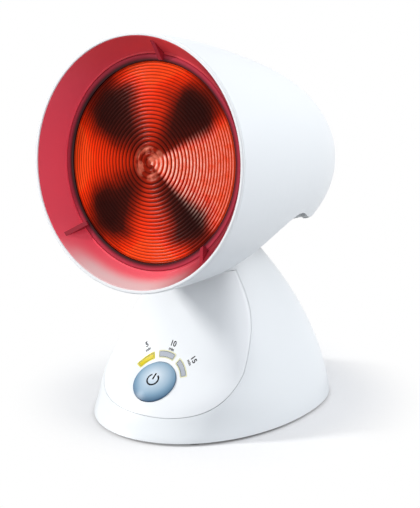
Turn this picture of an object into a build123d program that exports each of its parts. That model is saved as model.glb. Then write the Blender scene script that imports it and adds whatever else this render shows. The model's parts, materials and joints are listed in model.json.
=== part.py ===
from build123d import *
import math
import os

# Infrared heat therapy lamp: a bullet-shaped head on a domed stand, tilting about a cross pin.
# Millimetres. +Z is up, the lamp faces -Y and the object is symmetric about X = 0.
# The model is built with the stand's widest section centred on X = Y = 0 and is moved at the end,
# so that the finished lamp's origin is the centre of its footprint box, on the bench.

# ---------------------------------------------------------------- shared values
WALL = 2.0
SHEET = 2.0
BENCH_GAP = 1.0
FIT = 0.25
RUNNING_FIT = 0.05
FACE_GAP = 0.1
SCREW_RADIUS = 1.5
BOARD_SCREW_RADIUS = 1.2
BOARD_SCREW_LENGTH = 6.0
SCREW_HEAD_RADIUS = 2.9
SCREW_HEAD_HEIGHT = 1.8
SCREW_FIT = 0.05

# ---------------------------------------------------------------- stand
STAND_HALF_WIDTH = 62.6
STAND_SIDE_PEAK = 140.0
STAND_SIDE_BEND = 1.35
STAND_REAR_REACH = 71.9
STAND_REAR_PEAK = 118.0
STAND_REAR_BEND = 1.93
REAR_FULLNESS = 2.45
FRONT_FULLNESS_LOW = 2.05
FRONT_FULLNESS_HIGH = 3.4
FRONT_FLAT_LEVEL = 50.0
SECTION_PITCH = 8.0
ROOF_LEVEL = 96.0
PLATE_LIP = 0.6
PLATE_INSET = 0.8
TRAY_GAP = 2.0
# how far the sloping front stands forward of the centre, by level above the bench
FRONT_SLOPE = (
    (0.0, 86.5),
    (12.0, 75.5),
    (21.0, 67.8),
    (35.0, 51.6),
    (46.0, 44.8),
    (60.0, 38.3),
    (76.0, 31.9),
    (96.0, 23.5),
)

PANEL_HALF_WIDTH = 46.4
PANEL_BOTTOM_LEVEL = 12.7
PANEL_WIDEST_LEVEL = 36.0
PANEL_TOP_LEVEL = 90.0
PANEL_PEAK_RISE = 92.3
PANEL_TAPER = 1.58
PANEL_CORNER_FULLNESS = 3.0
PANEL_SEAM = 0.3
PANEL_ZONE_BACK = 6.0
LEDGE_WIDTH = 3.0
LEDGE_THICKNESS = 1.8
SPIGOT_WIDTH = 1.4

BASE_PLATE_THICKNESS = 2.4
PILLAR_RADIUS = 4.0
PILLAR_PLACES = ((50.0, 28.0), (-50.0, 28.0), (48.5, -37.0), (-48.5, -37.0))
PILLAR_REACH = 60.0
BASE_SCREW_LENGTH = 14.0
FOOT_RADIUS = 7.5
FOOT_STEM_RADIUS = 2.5
FOOT_PLACES = ((40.0, 44.0), (-40.0, 44.0), (30.0, -62.0), (-30.0, -62.0))
VENT_LENGTH = 26.0
VENT_WIDTH = 2.0
VENT_PITCH = 4.5
VENT_COUNT = 5
VENT_CENTRE_Y = 52.0

GLAND_LEVEL = 16.0
GLAND_RADIUS = 5.5
GLAND_FLANGE_RADIUS = 7.5
GLAND_FLANGE_THICKNESS = 3.0
GLAND_INNER_LENGTH = 8.0
GLAND_BORE_RADIUS = 3.2
GLAND_BARB = 0.8

# ---------------------------------------------------------------- controls
BUTTON_LEVEL = 28.0
BUTTON_RADIUS = 13.4
BUTTON_CROWN = 2.2
BUTTON_EDGE_RISE = 0.6
BUTTON_TRAVEL = 1.2
COLLAR_DEPTH = 6.0
COLLAR_WALL = 2.0
FLANGE_THICKNESS = 1.2
FLANGE_LIP = 1.4
STEM_RADIUS = 2.6
BOARD_THICKNESS = 1.6
BOARD_DEPTH = 14.0
BOARD_WIDTH = 52.0
BOARD_HEIGHT = 37.0
BOARD_RISE = 6.5
BOARD_POST_RADIUS = 2.8
BOARD_POST_X = 21.0
BOARD_POST_HALF_RISE = 13.5
SWITCH_SIZE = 6.2
SWITCH_HEIGHT = 3.4
WINDOW_RADIUS = 18.0
WINDOW_WIDTH = 2.3
WINDOW_SPAN = 31.0
WINDOW_PITCH = 46.0
WINDOW_DEPTH = 10.5
WINDOW_SHOULDER = 0.7
LED_SIZE = 3.0
LED_HEIGHT = 2.2

# ---------------------------------------------------------------- mains electronics on the base plate
POWER_BOARD_WIDTH = 66.0
POWER_BOARD_LENGTH = 60.0
POWER_BOARD_Y = 8.0
POWER_BOARD_STANDOFF = 6.0
STANDOFF_RADIUS = 3.2
STANDOFF_INSET = 5.0
TRANSFORMER_SIZE = (32.0, 28.0, 26.0)
TRANSFORMER_PLACE = (-14.0, 3.0)
RELAY_SIZE = (19.0, 15.5, 15.5)
RELAY_PLACE = (19.0, -6.0)
TERMINAL_SIZE = (24.0, 10.0, 12.0)
TERMINAL_PLACE = (9.0, 23.0)
TERMINAL_HOLE_RADIUS = 1.6
CAPACITOR_RADIUS = 5.0
CAPACITOR_HEIGHT = 16.0
CAPACITOR_PLACE = (17.0, 9.0)

# ---------------------------------------------------------------- tilt hinge
PIVOT_Y = 3.3
PIVOT_LEVEL = 104.0
PIN_RADIUS = 3.0
HUB_RADIUS = 6.0
EAR_INNER_X = 12.0
DISC_THICKNESS = 1.0
WASHER_RADIUS = 5.5
PIN_HEAD_RADIUS = 5.0
PIN_HEAD_THICKNESS = 2.5
NUT_RADIUS = 5.2
NUT_THICKNESS = 3.2
SPACER_RADIUS = 4.5
BRACKET_HALF_LENGTH = 12.0
BRACKET_SCREW_OFFSET = 8.0
BRACKET_SCREW_RADIUS = 2.0
BRACKET_NUT_RADIUS = 3.8
DETENT_COUNT = 5
DETENT_PITCH = 10.0
DETENT_NOTCH_RADIUS = 0.6

# ---------------------------------------------------------------- head
REST_TILT = 10.0
RIM_Y = -75.4
RIM_LEVEL = 162.1
LAMP_RADIUS = 60.5
MOUTH_MARGIN = 12.4
HEAD_LENGTH = 176.0
# body radius as a share of the rim's, by distance behind the rim
HEAD_OUTLINE = (
    (28.0, 0.9698),
    (55.0, 0.9191),
    (80.0, 0.8560),
    (104.0, 0.7819),
    (125.0, 0.6886),
    (143.0, 0.5693),
    (157.0, 0.4390),
    (167.0, 0.2963),
    (173.5, 0.1509),
)
BEZEL_DEPTH = 1.5
BEZEL_CHAMFER = 0.6
SEAM_GAP = 0.3
LINER_START = 0.8
LINER_EDGE = 0.5
LINER_THICKNESS = 1.3
LINER_SKIRT_END = 7.0

OPENING_TOP = 12.0
# edge of the opening under the head, as (distance behind the rim, half width)
OPENING_EDGE = (
    (37.0, 0.0),
    (40.0, 27.0),
    (48.0, 44.2),
    (59.0, 54.0),
    (74.0, 57.0),
    (90.0, 55.6),
    (105.0, 50.0),
    (120.0, 43.0),
    (132.0, 35.6),
    (142.0, 24.0),
    (147.0, 0.0),
)

LENS_STEP = 3.5
LAMP_FACE = 16.0
LAMP_CROWN = 2.4
LENS_EDGE_THICKNESS = 3.5
RING_WIDTH = 4.1
RING_FRONT = 1.0
RING_CHAMFER = 0.6
SEAT_GAP = 0.6
# reflector inside the lamp's radius, by distance behind the rim
REFLECTOR_OUTLINE = ((32.0, 3.0), (47.0, 9.5), (62.0, 17.5), (77.0, 26.5), (92.0, 35.0))
REFLECTOR_WALL = 1.6
NECK_RADIUS = 19.0
NECK_STATION = 110.0
CAP_RADIUS = 13.2
CAP_START = 118.0
CAP_END = 141.0
CAP_WALL = 0.8
CONTACT_RADIUS = 5.0
CONTACT_END = 145.5

CLIP_WIDTH = 2.6
CLIP_START = 4.2
CLIP_RISE = 1.2
CLIP_HOOK = 2.6
CLIP_LOWER_ANGLE = 135.0

SHIELD_GAP = 1.0
SHIELD_THICKNESS = 0.8
SHIELD_FLANGE = 5.5
SHIELD_COLLAR = 100.0

CHASSIS_STATION = 106.0
CHASSIS_RADIUS = 52.0
CHASSIS_HOLE_RADIUS = 24.0
CHASSIS_CUT = 20.0
STEM_HALF_WIDTH = 19.0
STEM_DROP = 40.0
BOSS_PLACE_RADIUS = 46.0
BOSS_RADIUS = 4.2
BOSS_ANGLES = (40.0, -40.0, 100.0, -100.0)
HEAD_SCREW_LENGTH = 12.0

HOLDER_FLANGE_RADIUS = 32.0
HOLDER_FLANGE = 3.0
HOLDER_MOUTH_RADIUS = 22.5
HOLDER_NECK_RADIUS = 24.5
HOLDER_BODY_RADIUS = 19.5
HOLDER_END = 154.0
HOLDER_BORE_FIT = 0.4
HOLDER_FLOOR = 147.0
HOLDER_SCREW_X = 28.0

# ---------------------------------------------------------------- worked-out values
PANEL_THICKNESS = WALL - FACE_GAP
SHELL_BOTTOM = BENCH_GAP + PLATE_LIP
PLATE_TOP = BENCH_GAP + BASE_PLATE_THICKNESS
EAR_OUTER_X = EAR_INNER_X + SHEET
DISC_X = EAR_OUTER_X + FACE_GAP / 2
LUG_X = DISC_X + DISC_THICKNESS + FACE_GAP / 2
LUG_OUTER_X = LUG_X + SHEET
SPRING_X = LUG_OUTER_X + FACE_GAP / 2
PIN_END_X = SPRING_X + DISC_THICKNESS + FACE_GAP / 2

RIM_RADIUS = LAMP_RADIUS + MOUTH_MARGIN
LENS_RADIUS = LAMP_RADIUS - LENS_STEP
SHIELD_FLANGE_RADIUS = LAMP_RADIUS + SHIELD_FLANGE
LENS_RIM_FRONT = LAMP_FACE + RING_FRONT
LENS_BACK = LENS_RIM_FRONT + LENS_EDGE_THICKNESS
LINER_END_RADIUS = LAMP_RADIUS + SEAT_GAP + FACE_GAP + 2 * LINER_THICKNESS

HEAD = Plane(
    origin=(0, RIM_Y, RIM_LEVEL),
    x_dir=(1, 0, 0),
    z_dir=(0, -math.cos(math.radians(REST_TILT)), math.sin(math.radians(REST_TILT))),
)
HEAD_REAR_Y = RIM_Y + HEAD_LENGTH * math.cos(math.radians(REST_TILT))
HEAD_FRONT_Y = RIM_Y - RIM_RADIUS * math.sin(math.radians(REST_TILT))
ORIGIN_SHIFT = -(HEAD_REAR_Y + HEAD_FRONT_Y) / 2


# ---------------------------------------------------------------- helpers
def write(name, shape):
    """Move a finished piece to the lamp's frame and write it as one STEP file."""
    export_step(Pos(0, ORIGIN_SHIFT, 0) * shape, f"parts/{name}.step")


def turned(points):
    """Solid of revolution about local Z from (distance behind the rim, radius) points."""
    outline = Polyline(*[(radius, 0, -station) for station, radius in points], close=True)
    return revolve(make_face(outline), Axis.Z, 360)


def rod(radius, start, end, x=0.0, y=0.0):
    """Cylinder along local Z between two heights."""
    return Pos(x, y, (start + end) / 2) * Cylinder(radius, end - start)


def cross_rod(radius, start, end):
    """Cylinder along X on the pivot axis."""
    return Pos((start + end) / 2, PIVOT_Y, PIVOT_LEVEL) * Rot(0, 90, 0) * Cylinder(radius, end - start)


def cross_washer(outer, inner, start, end):
    """Washer on the pivot axis."""
    return cross_rod(outer, start, end) - cross_rod(inner, start - 1, end + 1)


def block(size, x, y, bottom):
    """Box standing on a level."""
    return Pos(x, y, bottom + size[2] / 2) * Box(*size)


def screw(length, radius=SCREW_RADIUS):
    """Pan-head screw pointing down local -Z, with its seat at z = 0."""
    return rod(radius, -length, 0) + rod(SCREW_HEAD_RADIUS, 0, SCREW_HEAD_HEIGHT)


# ---------------------------------------------------------------- stand surface
def front_reach(level):
    """Forward reach of the sloping front, smooth through the named levels."""
    for i in range(len(FRONT_SLOPE) - 1):
        low, high = FRONT_SLOPE[i], FRONT_SLOPE[i + 1]
        if level <= high[0] or i == len(FRONT_SLOPE) - 2:
            break
    before = FRONT_SLOPE[max(i - 1, 0)]
    after = FRONT_SLOPE[min(i + 2, len(FRONT_SLOPE) - 1)]
    span = high[0] - low[0]
    t = (level - low[0]) / span
    slope_low = (high[1] - before[1]) / (high[0] - before[0]) * span
    slope_high = (after[1] - low[1]) / (after[0] - low[0]) * span
    return (
        (2 * t**3 - 3 * t**2 + 1) * low[1]
        + (t**3 - 2 * t**2 + t) * slope_low
        + (3 * t**2 - 2 * t**3) * high[1]
        + (t**3 - t**2) * slope_high
    )


def inset_reach(reach, level, inset):
    """A reach less the level distance that an even wall takes up there."""
    step = 0.5
    middle = max(level, step)
    lean = (reach(middle + step) - reach(middle - step)) / (2 * step)
    return reach(level) - inset * math.sqrt(1 + lean * lean)


def half_width(level):
    """Half the stand's width at a level."""
    return STAND_HALF_WIDTH * (1 - (level / STAND_SIDE_PEAK) ** STAND_SIDE_BEND)


def rear_reach(level):
    """Rearward reach at a level."""
    return STAND_REAR_REACH * (1 - (level / STAND_REAR_PEAK) ** STAND_REAR_BEND)


def front_fullness(level):
    """How square the front of the section is: nearly an ellipse at the bench, flatter higher up."""
    share = min(level / FRONT_FLAT_LEVEL, 1)
    return FRONT_FULLNESS_LOW + (FRONT_FULLNESS_HIGH - FRONT_FULLNESS_LOW) * share**2 * (3 - 2 * share)


def full_curve(half, reach, fullness):
    """Two curves from (half, 0) over (0, reach) to (-half, 0), the squarer the fuller; 2 is near an ellipse."""
    # where each quarter's control points must stand for its middle to lie on the superellipse
    pull = (8 * 0.5 ** (1 / fullness) - 4) / 3
    right = Bezier((half, 0), (half, pull * reach), (pull * half, reach), (0, reach))
    left = Bezier((0, reach), (-pull * half, reach), (-half, pull * reach), (-half, 0))
    return [right, left]


def stand_section(level, inset):
    """Level section of the stand: a flatter front half and a rounder rear half."""
    width = inset_reach(half_width, level, inset)
    front = inset_reach(front_reach, level, inset)
    rear = inset_reach(rear_reach, level, inset)
    front_edges = full_curve(width, -front, front_fullness(level))
    rear_edges = full_curve(width, rear, REAR_FULLNESS)
    return Pos(0, 0, level) * make_face([*front_edges, *rear_edges])


def stand_form(inset, bottom, top):
    """Solid domed form of the stand, drawn in by an even inset."""
    evenly = [SECTION_PITCH * (i + 1) for i in range(int(ROOF_LEVEL / SECTION_PITCH))]
    between = [level for level in evenly if bottom + 2 < level < top - 2]
    return loft([stand_section(level, inset) for level in [bottom, *between, top]])


# ---------------------------------------------------------------- front panel outline
def panel_prism(grow, back=PANEL_ZONE_BACK):
    """Fore-and-aft prism through the front panel's shield-shaped outline, from a distance before the centre."""
    drop = PANEL_WIDEST_LEVEL - PANEL_BOTTOM_LEVEL + grow
    bottom_edges = full_curve(PANEL_HALF_WIDTH + grow, -drop, PANEL_CORNER_FULLNESS)
    rises = [(PANEL_TOP_LEVEL + grow - PANEL_WIDEST_LEVEL) * share for share in (0, 0.33, 0.67, 1)]
    side = []
    for rise in rises:
        x = PANEL_HALF_WIDTH * (1 - (rise / PANEL_PEAK_RISE) ** PANEL_TAPER) + grow
        side.append((x, rise))
    right_edge = Spline(*side)
    left_edge = Spline(*[(-x, rise) for x, rise in side])
    top_edge = Line(side[-1], (-side[-1][0], side[-1][1]))
    outline = Plane.XZ * make_face([*bottom_edges, right_edge, top_edge, left_edge])
    return Pos(0, -back, PANEL_WIDEST_LEVEL) * extrude(outline, amount=FRONT_SLOPE[0][1])


# slope of the panel where the button sits, and the control frame: x right, y up the slope, z outward
BUTTON_RUN = (front_reach(BUTTON_LEVEL - 4) - front_reach(BUTTON_LEVEL + 4)) / 8
PANEL_SLOPE = math.atan2(1, BUTTON_RUN)
CONTROL = Plane(
    origin=(0, -front_reach(BUTTON_LEVEL), BUTTON_LEVEL),
    x_dir=(1, 0, 0),
    z_dir=(0, -math.sin(PANEL_SLOPE), math.cos(PANEL_SLOPE)),
)


def on_controls(shape):
    """Place a piece drawn in the control frame."""
    return CONTROL.location * shape


def window_bar(angle, grow, bottom, top):
    """Arc-shaped bar of one timer window, in the control frame."""
    inner = WINDOW_RADIUS - WINDOW_WIDTH / 2 - grow
    outer = WINDOW_RADIUS + WINDOW_WIDTH / 2 + grow
    half = math.radians(WINDOW_SPAN / 2) + grow / WINDOW_RADIUS
    middle = math.radians(90 - angle)
    low, high = middle - half, middle + half

    def at(radius, turn):
        return (radius * math.cos(turn), radius * math.sin(turn))

    outline = make_face(
        [
            ThreePointArc(at(inner, low), at(inner, middle), at(inner, high)),
            Line(at(inner, high), at(outer, high)),
            ThreePointArc(at(outer, high), at(outer, middle), at(outer, low)),
            Line(at(outer, low), at(inner, low)),
        ]
    )
    return Pos(0, 0, bottom) * extrude(outline, amount=top - bottom)


WINDOW_ANGLES = {"5": -WINDOW_PITCH, "10": 0.0, "15": WINDOW_PITCH}
BOARD_POSTS = [(x, BOARD_RISE + y) for x in (-BOARD_POST_X, BOARD_POST_X)
               for y in (-BOARD_POST_HALF_RISE, BOARD_POST_HALF_RISE)]


# ---------------------------------------------------------------- stand pieces
def make_base_shell(outer, inner, ledge_back):
    """Domed shell with a ledge round the front panel, roof slots and screw pillars."""
    ledge_zone = panel_prism(LEDGE_WIDTH - 1, PANEL_ZONE_BACK - LEDGE_WIDTH) - panel_prism(-LEDGE_WIDTH, 0)
    shell = outer - (inner - ledge_zone) - ledge_back
    recess = panel_prism(0) - inner
    pillars = Part() + [rod(PILLAR_RADIUS, PLATE_TOP, PILLAR_REACH, x, y) for x, y in PILLAR_PLACES]
    shell = shell + (pillars & stand_form(WALL / 2, 0, ROOF_LEVEL - WALL)) - recess
    for x, y in PILLAR_PLACES:
        shell -= rod(SCREW_RADIUS + SCREW_FIT, 0, BENCH_GAP + BASE_SCREW_LENGTH + 2, x, y)
    for side in (-1, 1):
        slot_x = side * (EAR_INNER_X + EAR_OUTER_X) / 2
        slot = (SHEET + 2 * FIT, 2 * (HUB_RADIUS + FIT), 4 * WALL)
        shell -= block(slot, slot_x, PIVOT_Y, ROOF_LEVEL - 2 * WALL)
        shell -= rod(BRACKET_SCREW_RADIUS + SCREW_FIT, ROOF_LEVEL - 2 * WALL, ROOF_LEVEL + WALL,
                     0, PIVOT_Y + side * BRACKET_SCREW_OFFSET)
    return shell - gland_place() * Cylinder(GLAND_RADIUS + FACE_GAP, 2 * GLAND_INNER_LENGTH)


def make_front_panel(outer, panel_back, panel_inside, ledge_back):
    """Shield-shaped control panel that closes the stand's front and plugs into its ledge."""
    panel = (panel_prism(-PANEL_SEAM) - panel_back) & outer
    plug = panel_prism(-LEDGE_WIDTH - FACE_GAP) - panel_prism(-LEDGE_WIDTH - FACE_GAP - SPIGOT_WIDTH)
    panel += (plug - ledge_back) & panel_inside
    collar_radius = BUTTON_RADIUS + FIT + COLLAR_WALL
    collar = on_controls(rod(collar_radius, -COLLAR_DEPTH, 0)) & panel_inside
    panel += collar & panel_prism(-LEDGE_WIDTH - FACE_GAP - SPIGOT_WIDTH / 2)
    posts = Part() + [rod(BOARD_POST_RADIUS, -BOARD_DEPTH, 0, x, y) for x, y in BOARD_POSTS]
    panel += on_controls(posts) & panel_inside
    cuts = rod(BUTTON_RADIUS + FIT, -2 * COLLAR_DEPTH, COLLAR_DEPTH)
    cuts += [window_bar(angle, FACE_GAP / 2, -2 * COLLAR_DEPTH, COLLAR_DEPTH) for angle in WINDOW_ANGLES.values()]
    cuts += [rod(BOARD_SCREW_RADIUS + SCREW_FIT, -BOARD_DEPTH - 1, -BOARD_DEPTH / 2, x, y)
             for x, y in BOARD_POSTS]
    return panel - on_controls(cuts)


def make_power_button():
    """Round push button with a crowned face, a retaining flange and a switch stem."""
    crown_radius = (BUTTON_RADIUS**2 + BUTTON_CROWN**2) / (2 * BUTTON_CROWN)
    ball = Pos(0, 0, BUTTON_EDGE_RISE + BUTTON_CROWN - crown_radius) * Sphere(crown_radius)
    flange_top = -COLLAR_DEPTH - FACE_GAP
    cap = rod(BUTTON_RADIUS, flange_top, BUTTON_EDGE_RISE + BUTTON_CROWN + 1) & ball
    cap += rod(BUTTON_RADIUS + FLANGE_LIP, flange_top - FLANGE_THICKNESS, flange_top)
    hollow = rod(BUTTON_RADIUS - WALL, flange_top - 2 * FLANGE_THICKNESS, -WALL / 2)
    stem_end = -BOARD_DEPTH + SWITCH_HEIGHT + BUTTON_TRAVEL + FACE_GAP
    return on_controls(cap - hollow + rod(STEM_RADIUS, stem_end, 0))


def make_timer_window(angle, outer, panel_back):
    """Light guide that ends flush with the panel's face, with a shoulder behind the panel."""
    guide = on_controls(window_bar(angle, 0, -WINDOW_DEPTH, COLLAR_DEPTH)) & outer
    shoulder = on_controls(window_bar(angle, WINDOW_SHOULDER, -WINDOW_DEPTH, COLLAR_DEPTH)) & panel_back
    return guide + shoulder


def make_control_board():
    """Circuit board under the panel, carried by the panel's four posts."""
    board = Pos(0, BOARD_RISE, -BOARD_DEPTH - BOARD_THICKNESS / 2) * Box(
        BOARD_WIDTH, BOARD_HEIGHT, BOARD_THICKNESS)
    for x, y in BOARD_POSTS:
        board -= rod(BOARD_SCREW_RADIUS + FIT, -BOARD_DEPTH - 2 * BOARD_THICKNESS, -BOARD_DEPTH + 1, x, y)
    return on_controls(board)


def make_board_screws():
    """Eight like screws: four in the control board and four in the mains board."""
    one = screw(BOARD_SCREW_LENGTH, BOARD_SCREW_RADIUS)
    seat = -BOARD_DEPTH - BOARD_THICKNESS
    control = on_controls(Part() + [Pos(x, y, seat) * Rot(180, 0, 0) * one for x, y in BOARD_POSTS])
    return control + [Pos(x, y, POWER_BOARD_TOP) * one for x, y in POWER_POSTS]


def make_power_switch():
    """Tactile switch on the board, below the button's stem."""
    size = (SWITCH_SIZE, SWITCH_SIZE, SWITCH_HEIGHT)
    return on_controls(block(size, 0, 0, -BOARD_DEPTH))


def make_timer_leds():
    """Three indicator lamps on the board, one under each window."""
    leds = []
    for angle in WINDOW_ANGLES.values():
        turn = math.radians(90 - angle)
        x, y = WINDOW_RADIUS * math.cos(turn), WINDOW_RADIUS * math.sin(turn)
        leds.append(Pos(x, y, -BOARD_DEPTH + LED_HEIGHT / 2) * Box(LED_SIZE, LED_SIZE, LED_HEIGHT))
    return on_controls(Part() + leds)


def make_base_plate():
    """Bottom cover: a lip under the shell, a raised tray inside it, stand-offs and vents."""
    plate = extrude(stand_section(SHELL_BOTTOM, PLATE_INSET), amount=-PLATE_LIP)
    plate += extrude(stand_section(PLATE_TOP, WALL + TRAY_GAP), amount=SHELL_BOTTOM - PLATE_TOP)
    top = PLATE_TOP
    for x, y in POWER_POSTS:
        plate += rod(STANDOFF_RADIUS, BENCH_GAP, top + POWER_BOARD_STANDOFF, x, y)
        plate -= rod(BOARD_SCREW_RADIUS + SCREW_FIT, top, top + POWER_BOARD_STANDOFF + 1, x, y)
    for x, y in PILLAR_PLACES:
        plate -= rod(SCREW_RADIUS + FIT, 0, top + 1, x, y)
        plate -= rod(SCREW_HEAD_RADIUS + FIT, 0, BENCH_GAP + SCREW_HEAD_HEIGHT, x, y)
    for x, y in FOOT_PLACES:
        plate -= rod(FOOT_STEM_RADIUS + FACE_GAP / 2, 0, top + 1, x, y)
    for i in range(VENT_COUNT):
        y = VENT_CENTRE_Y + (i - (VENT_COUNT - 1) / 2) * VENT_PITCH
        slot = extrude(SlotOverall(VENT_LENGTH, VENT_WIDTH), amount=3 * top)
        plate -= Pos(0, y, 0) * slot
    return plate


def gland_place():
    """Place of the cord gland on the rear wall, with z square to the wall."""
    lean = math.degrees(math.atan((rear_reach(GLAND_LEVEL - 1) - rear_reach(GLAND_LEVEL + 1)) / 2))
    return Pos(0, rear_reach(GLAND_LEVEL), GLAND_LEVEL) * Rot(lean - 90, 0, 0)


def make_cord_gland():
    """Rubber bush in the rear wall that the supply lead would pass through."""
    bush = rod(GLAND_RADIUS, -GLAND_INNER_LENGTH, GLAND_FLANGE_THICKNESS)
    bush += rod(GLAND_FLANGE_RADIUS, FACE_GAP, GLAND_FLANGE_THICKNESS)
    bush += rod(GLAND_RADIUS + GLAND_BARB, -GLAND_INNER_LENGTH, -WALL - GLAND_BARB)
    bush -= rod(GLAND_BORE_RADIUS, -2 * GLAND_INNER_LENGTH, 2 * GLAND_INNER_LENGTH)
    return gland_place() * bush


POWER_POSTS = [(x, POWER_BOARD_Y + y)
               for x in (STANDOFF_INSET - POWER_BOARD_WIDTH / 2, POWER_BOARD_WIDTH / 2 - STANDOFF_INSET)
               for y in (STANDOFF_INSET - POWER_BOARD_LENGTH / 2, POWER_BOARD_LENGTH / 2 - STANDOFF_INSET)]
POWER_BOARD_BOTTOM = PLATE_TOP + POWER_BOARD_STANDOFF
POWER_BOARD_TOP = POWER_BOARD_BOTTOM + BOARD_THICKNESS


def make_power_board():
    """Mains circuit board on the base plate's stand-offs."""
    board = block((POWER_BOARD_WIDTH, POWER_BOARD_LENGTH, BOARD_THICKNESS), 0, POWER_BOARD_Y, POWER_BOARD_BOTTOM)
    for x, y in POWER_POSTS:
        board -= rod(BOARD_SCREW_RADIUS + FIT, 0, POWER_BOARD_TOP + 1, x, y)
    return board


def on_power_board(size, place):
    """Component body standing on the mains board."""
    return block(size, place[0], POWER_BOARD_Y + place[1], POWER_BOARD_TOP)


def make_terminal_block():
    """Terminal block with two wire entries."""
    body = on_power_board(TERMINAL_SIZE, TERMINAL_PLACE)
    for side in (-1, 1):
        x = TERMINAL_PLACE[0] + side * TERMINAL_SIZE[0] / 4
        entry = Pos(x, POWER_BOARD_Y + TERMINAL_PLACE[1] + TERMINAL_SIZE[1] / 2,
                    POWER_BOARD_TOP + TERMINAL_SIZE[2] / 2)
        body -= entry * Rot(90, 0, 0) * Cylinder(TERMINAL_HOLE_RADIUS, TERMINAL_SIZE[1])
    return body


# ---------------------------------------------------------------- hinge pieces
def make_tilt_bracket():
    """Steel bracket under the roof, with two ears that stand up through its slots."""
    top = ROOF_LEVEL - WALL - FACE_GAP
    bracket = block((2 * EAR_OUTER_X, 2 * BRACKET_HALF_LENGTH, SHEET), 0, PIVOT_Y, top - SHEET)
    for side in (-1, 1):
        ear_x = side * (EAR_INNER_X + EAR_OUTER_X) / 2
        bracket += block((SHEET, 2 * HUB_RADIUS, PIVOT_LEVEL - top + SHEET), ear_x, PIVOT_Y, top - SHEET)
        bracket += cross_rod(HUB_RADIUS, *sorted((side * EAR_INNER_X, side * EAR_OUTER_X)))
        bracket -= rod(BRACKET_SCREW_RADIUS + SCREW_FIT, 0, top + 1, 0, PIVOT_Y + side * BRACKET_SCREW_OFFSET)
    return bracket - cross_rod(PIN_RADIUS + RUNNING_FIT, -PIN_END_X, PIN_END_X)


def make_bracket_screws():
    """Two screws with nuts that clamp the bracket under the roof."""
    below = ROOF_LEVEL - WALL - FACE_GAP - SHEET
    hardware = []
    for side in (-1, 1):
        y = PIVOT_Y + side * BRACKET_SCREW_OFFSET
        hardware.append(Pos(0, y, ROOF_LEVEL) * screw(ROOF_LEVEL - below + SHEET, BRACKET_SCREW_RADIUS))
        nut = extrude(RegularPolygon(BRACKET_NUT_RADIUS, 6), amount=-SHEET)
        hardware.append(Pos(0, y, below) * nut)
    return Part() + hardware


def make_hinge_pin():
    """Cross pin with a round head on the left and a plain end for the nut."""
    pin = cross_rod(PIN_RADIUS, -PIN_END_X, PIN_END_X + NUT_THICKNESS)
    return pin + cross_rod(PIN_HEAD_RADIUS, -PIN_END_X - PIN_HEAD_THICKNESS, -PIN_END_X)


def make_hinge_nut():
    """Hexagon lock nut on the pin's right end."""
    nut = extrude(RegularPolygon(NUT_RADIUS, 6), amount=NUT_THICKNESS)
    nut -= rod(PIN_RADIUS + RUNNING_FIT, -1, NUT_THICKNESS + 1)
    return Pos(PIN_END_X, PIVOT_Y, PIVOT_LEVEL) * Rot(0, 90, 0) * nut


def make_detent_disc():
    """Notched disc beside the left ear: one notch for each tilt position."""
    disc = cross_washer(WASHER_RADIUS, PIN_RADIUS + RUNNING_FIT, -DISC_X - DISC_THICKNESS, -DISC_X)
    for i in range(DETENT_COUNT):
        turn = math.radians((i - (DETENT_COUNT - 1) / 2) * 2 * DETENT_PITCH)
        y = PIVOT_Y + WASHER_RADIUS * math.sin(turn)
        z = PIVOT_LEVEL + WASHER_RADIUS * math.cos(turn)
        disc -= Pos(-DISC_X, y, z) * Rot(0, 90, 0) * Cylinder(DETENT_NOTCH_RADIUS, 4 * DISC_THICKNESS)
    return disc


# ---------------------------------------------------------------- head pieces, in the head's own frame
def bullet(inset, start):
    """Solid bullet form of the head, drawn in by an even inset, from a station behind the rim."""
    sides = [(station, share * RIM_RADIUS) for station, share in HEAD_OUTLINE]
    stations = [(start, RIM_RADIUS), *sides, (HEAD_LENGTH, 0.0)]
    lean = (RIM_RADIUS - sides[0][1]) / (sides[0][0] - start) / 2
    edge = Spline(*[(radius, -station) for station, radius in stations], tangents=[(-lean, -1), (-1, 0)])
    if inset:
        shares = [i / len(stations) for i in range(len(stations) + 1)]
        inward = [(edge % share).rotate(Axis.Z, -90) for share in shares]
        points = [edge @ share + side * inset for share, side in zip(shares, inward)]
        edge = Spline(*points, tangents=[edge % 0, edge % 1])
    first, last = edge @ 0, edge @ 1
    corner = (0, first.Y)
    face = make_face([edge, Line(last, corner), Line(corner, first)])
    return revolve(Plane.XZ * face, Axis.Z, 360)


def opening_prism():
    """Upright prism through the opening under the head that the stand's top enters."""
    forward = [(x, -station) for station, x in OPENING_EDGE]
    right_edge = Spline(*forward, tangents=[(1, 0), (-1, 0)])
    left_edge = Spline(*[(-x, y) for x, y in forward], tangents=[(-1, 0), (1, 0)])
    outline = Plane.XZ * make_face([right_edge, left_edge])
    return Pos(0, -OPENING_TOP, 0) * extrude(outline, amount=2 * RIM_RADIUS)


def boss_places():
    """Places of the chassis bosses, as (x, y) in the head frame."""
    turns = [math.radians(angle) for angle in BOSS_ANGLES]
    return [(BOSS_PLACE_RADIUS * math.sin(turn), BOSS_PLACE_RADIUS * math.cos(turn)) for turn in turns]


def make_head_shell():
    """Bullet-shaped shell, open in front and beneath, with four chassis bosses inside."""
    start = BEZEL_DEPTH + SEAM_GAP
    shell = bullet(0, start) - bullet(WALL, start - 1) - opening_prism()
    front = -CHASSIS_STATION - SHEET
    bosses = Part() + [rod(BOSS_RADIUS, -HEAD_LENGTH, front, x, y) for x, y in boss_places()]
    shell += bosses & bullet(WALL / 2, start)
    for x, y in boss_places():
        shell -= rod(SCREW_RADIUS + SCREW_FIT, front - HEAD_SCREW_LENGTH, front + 1, x, y)
    return shell


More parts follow.
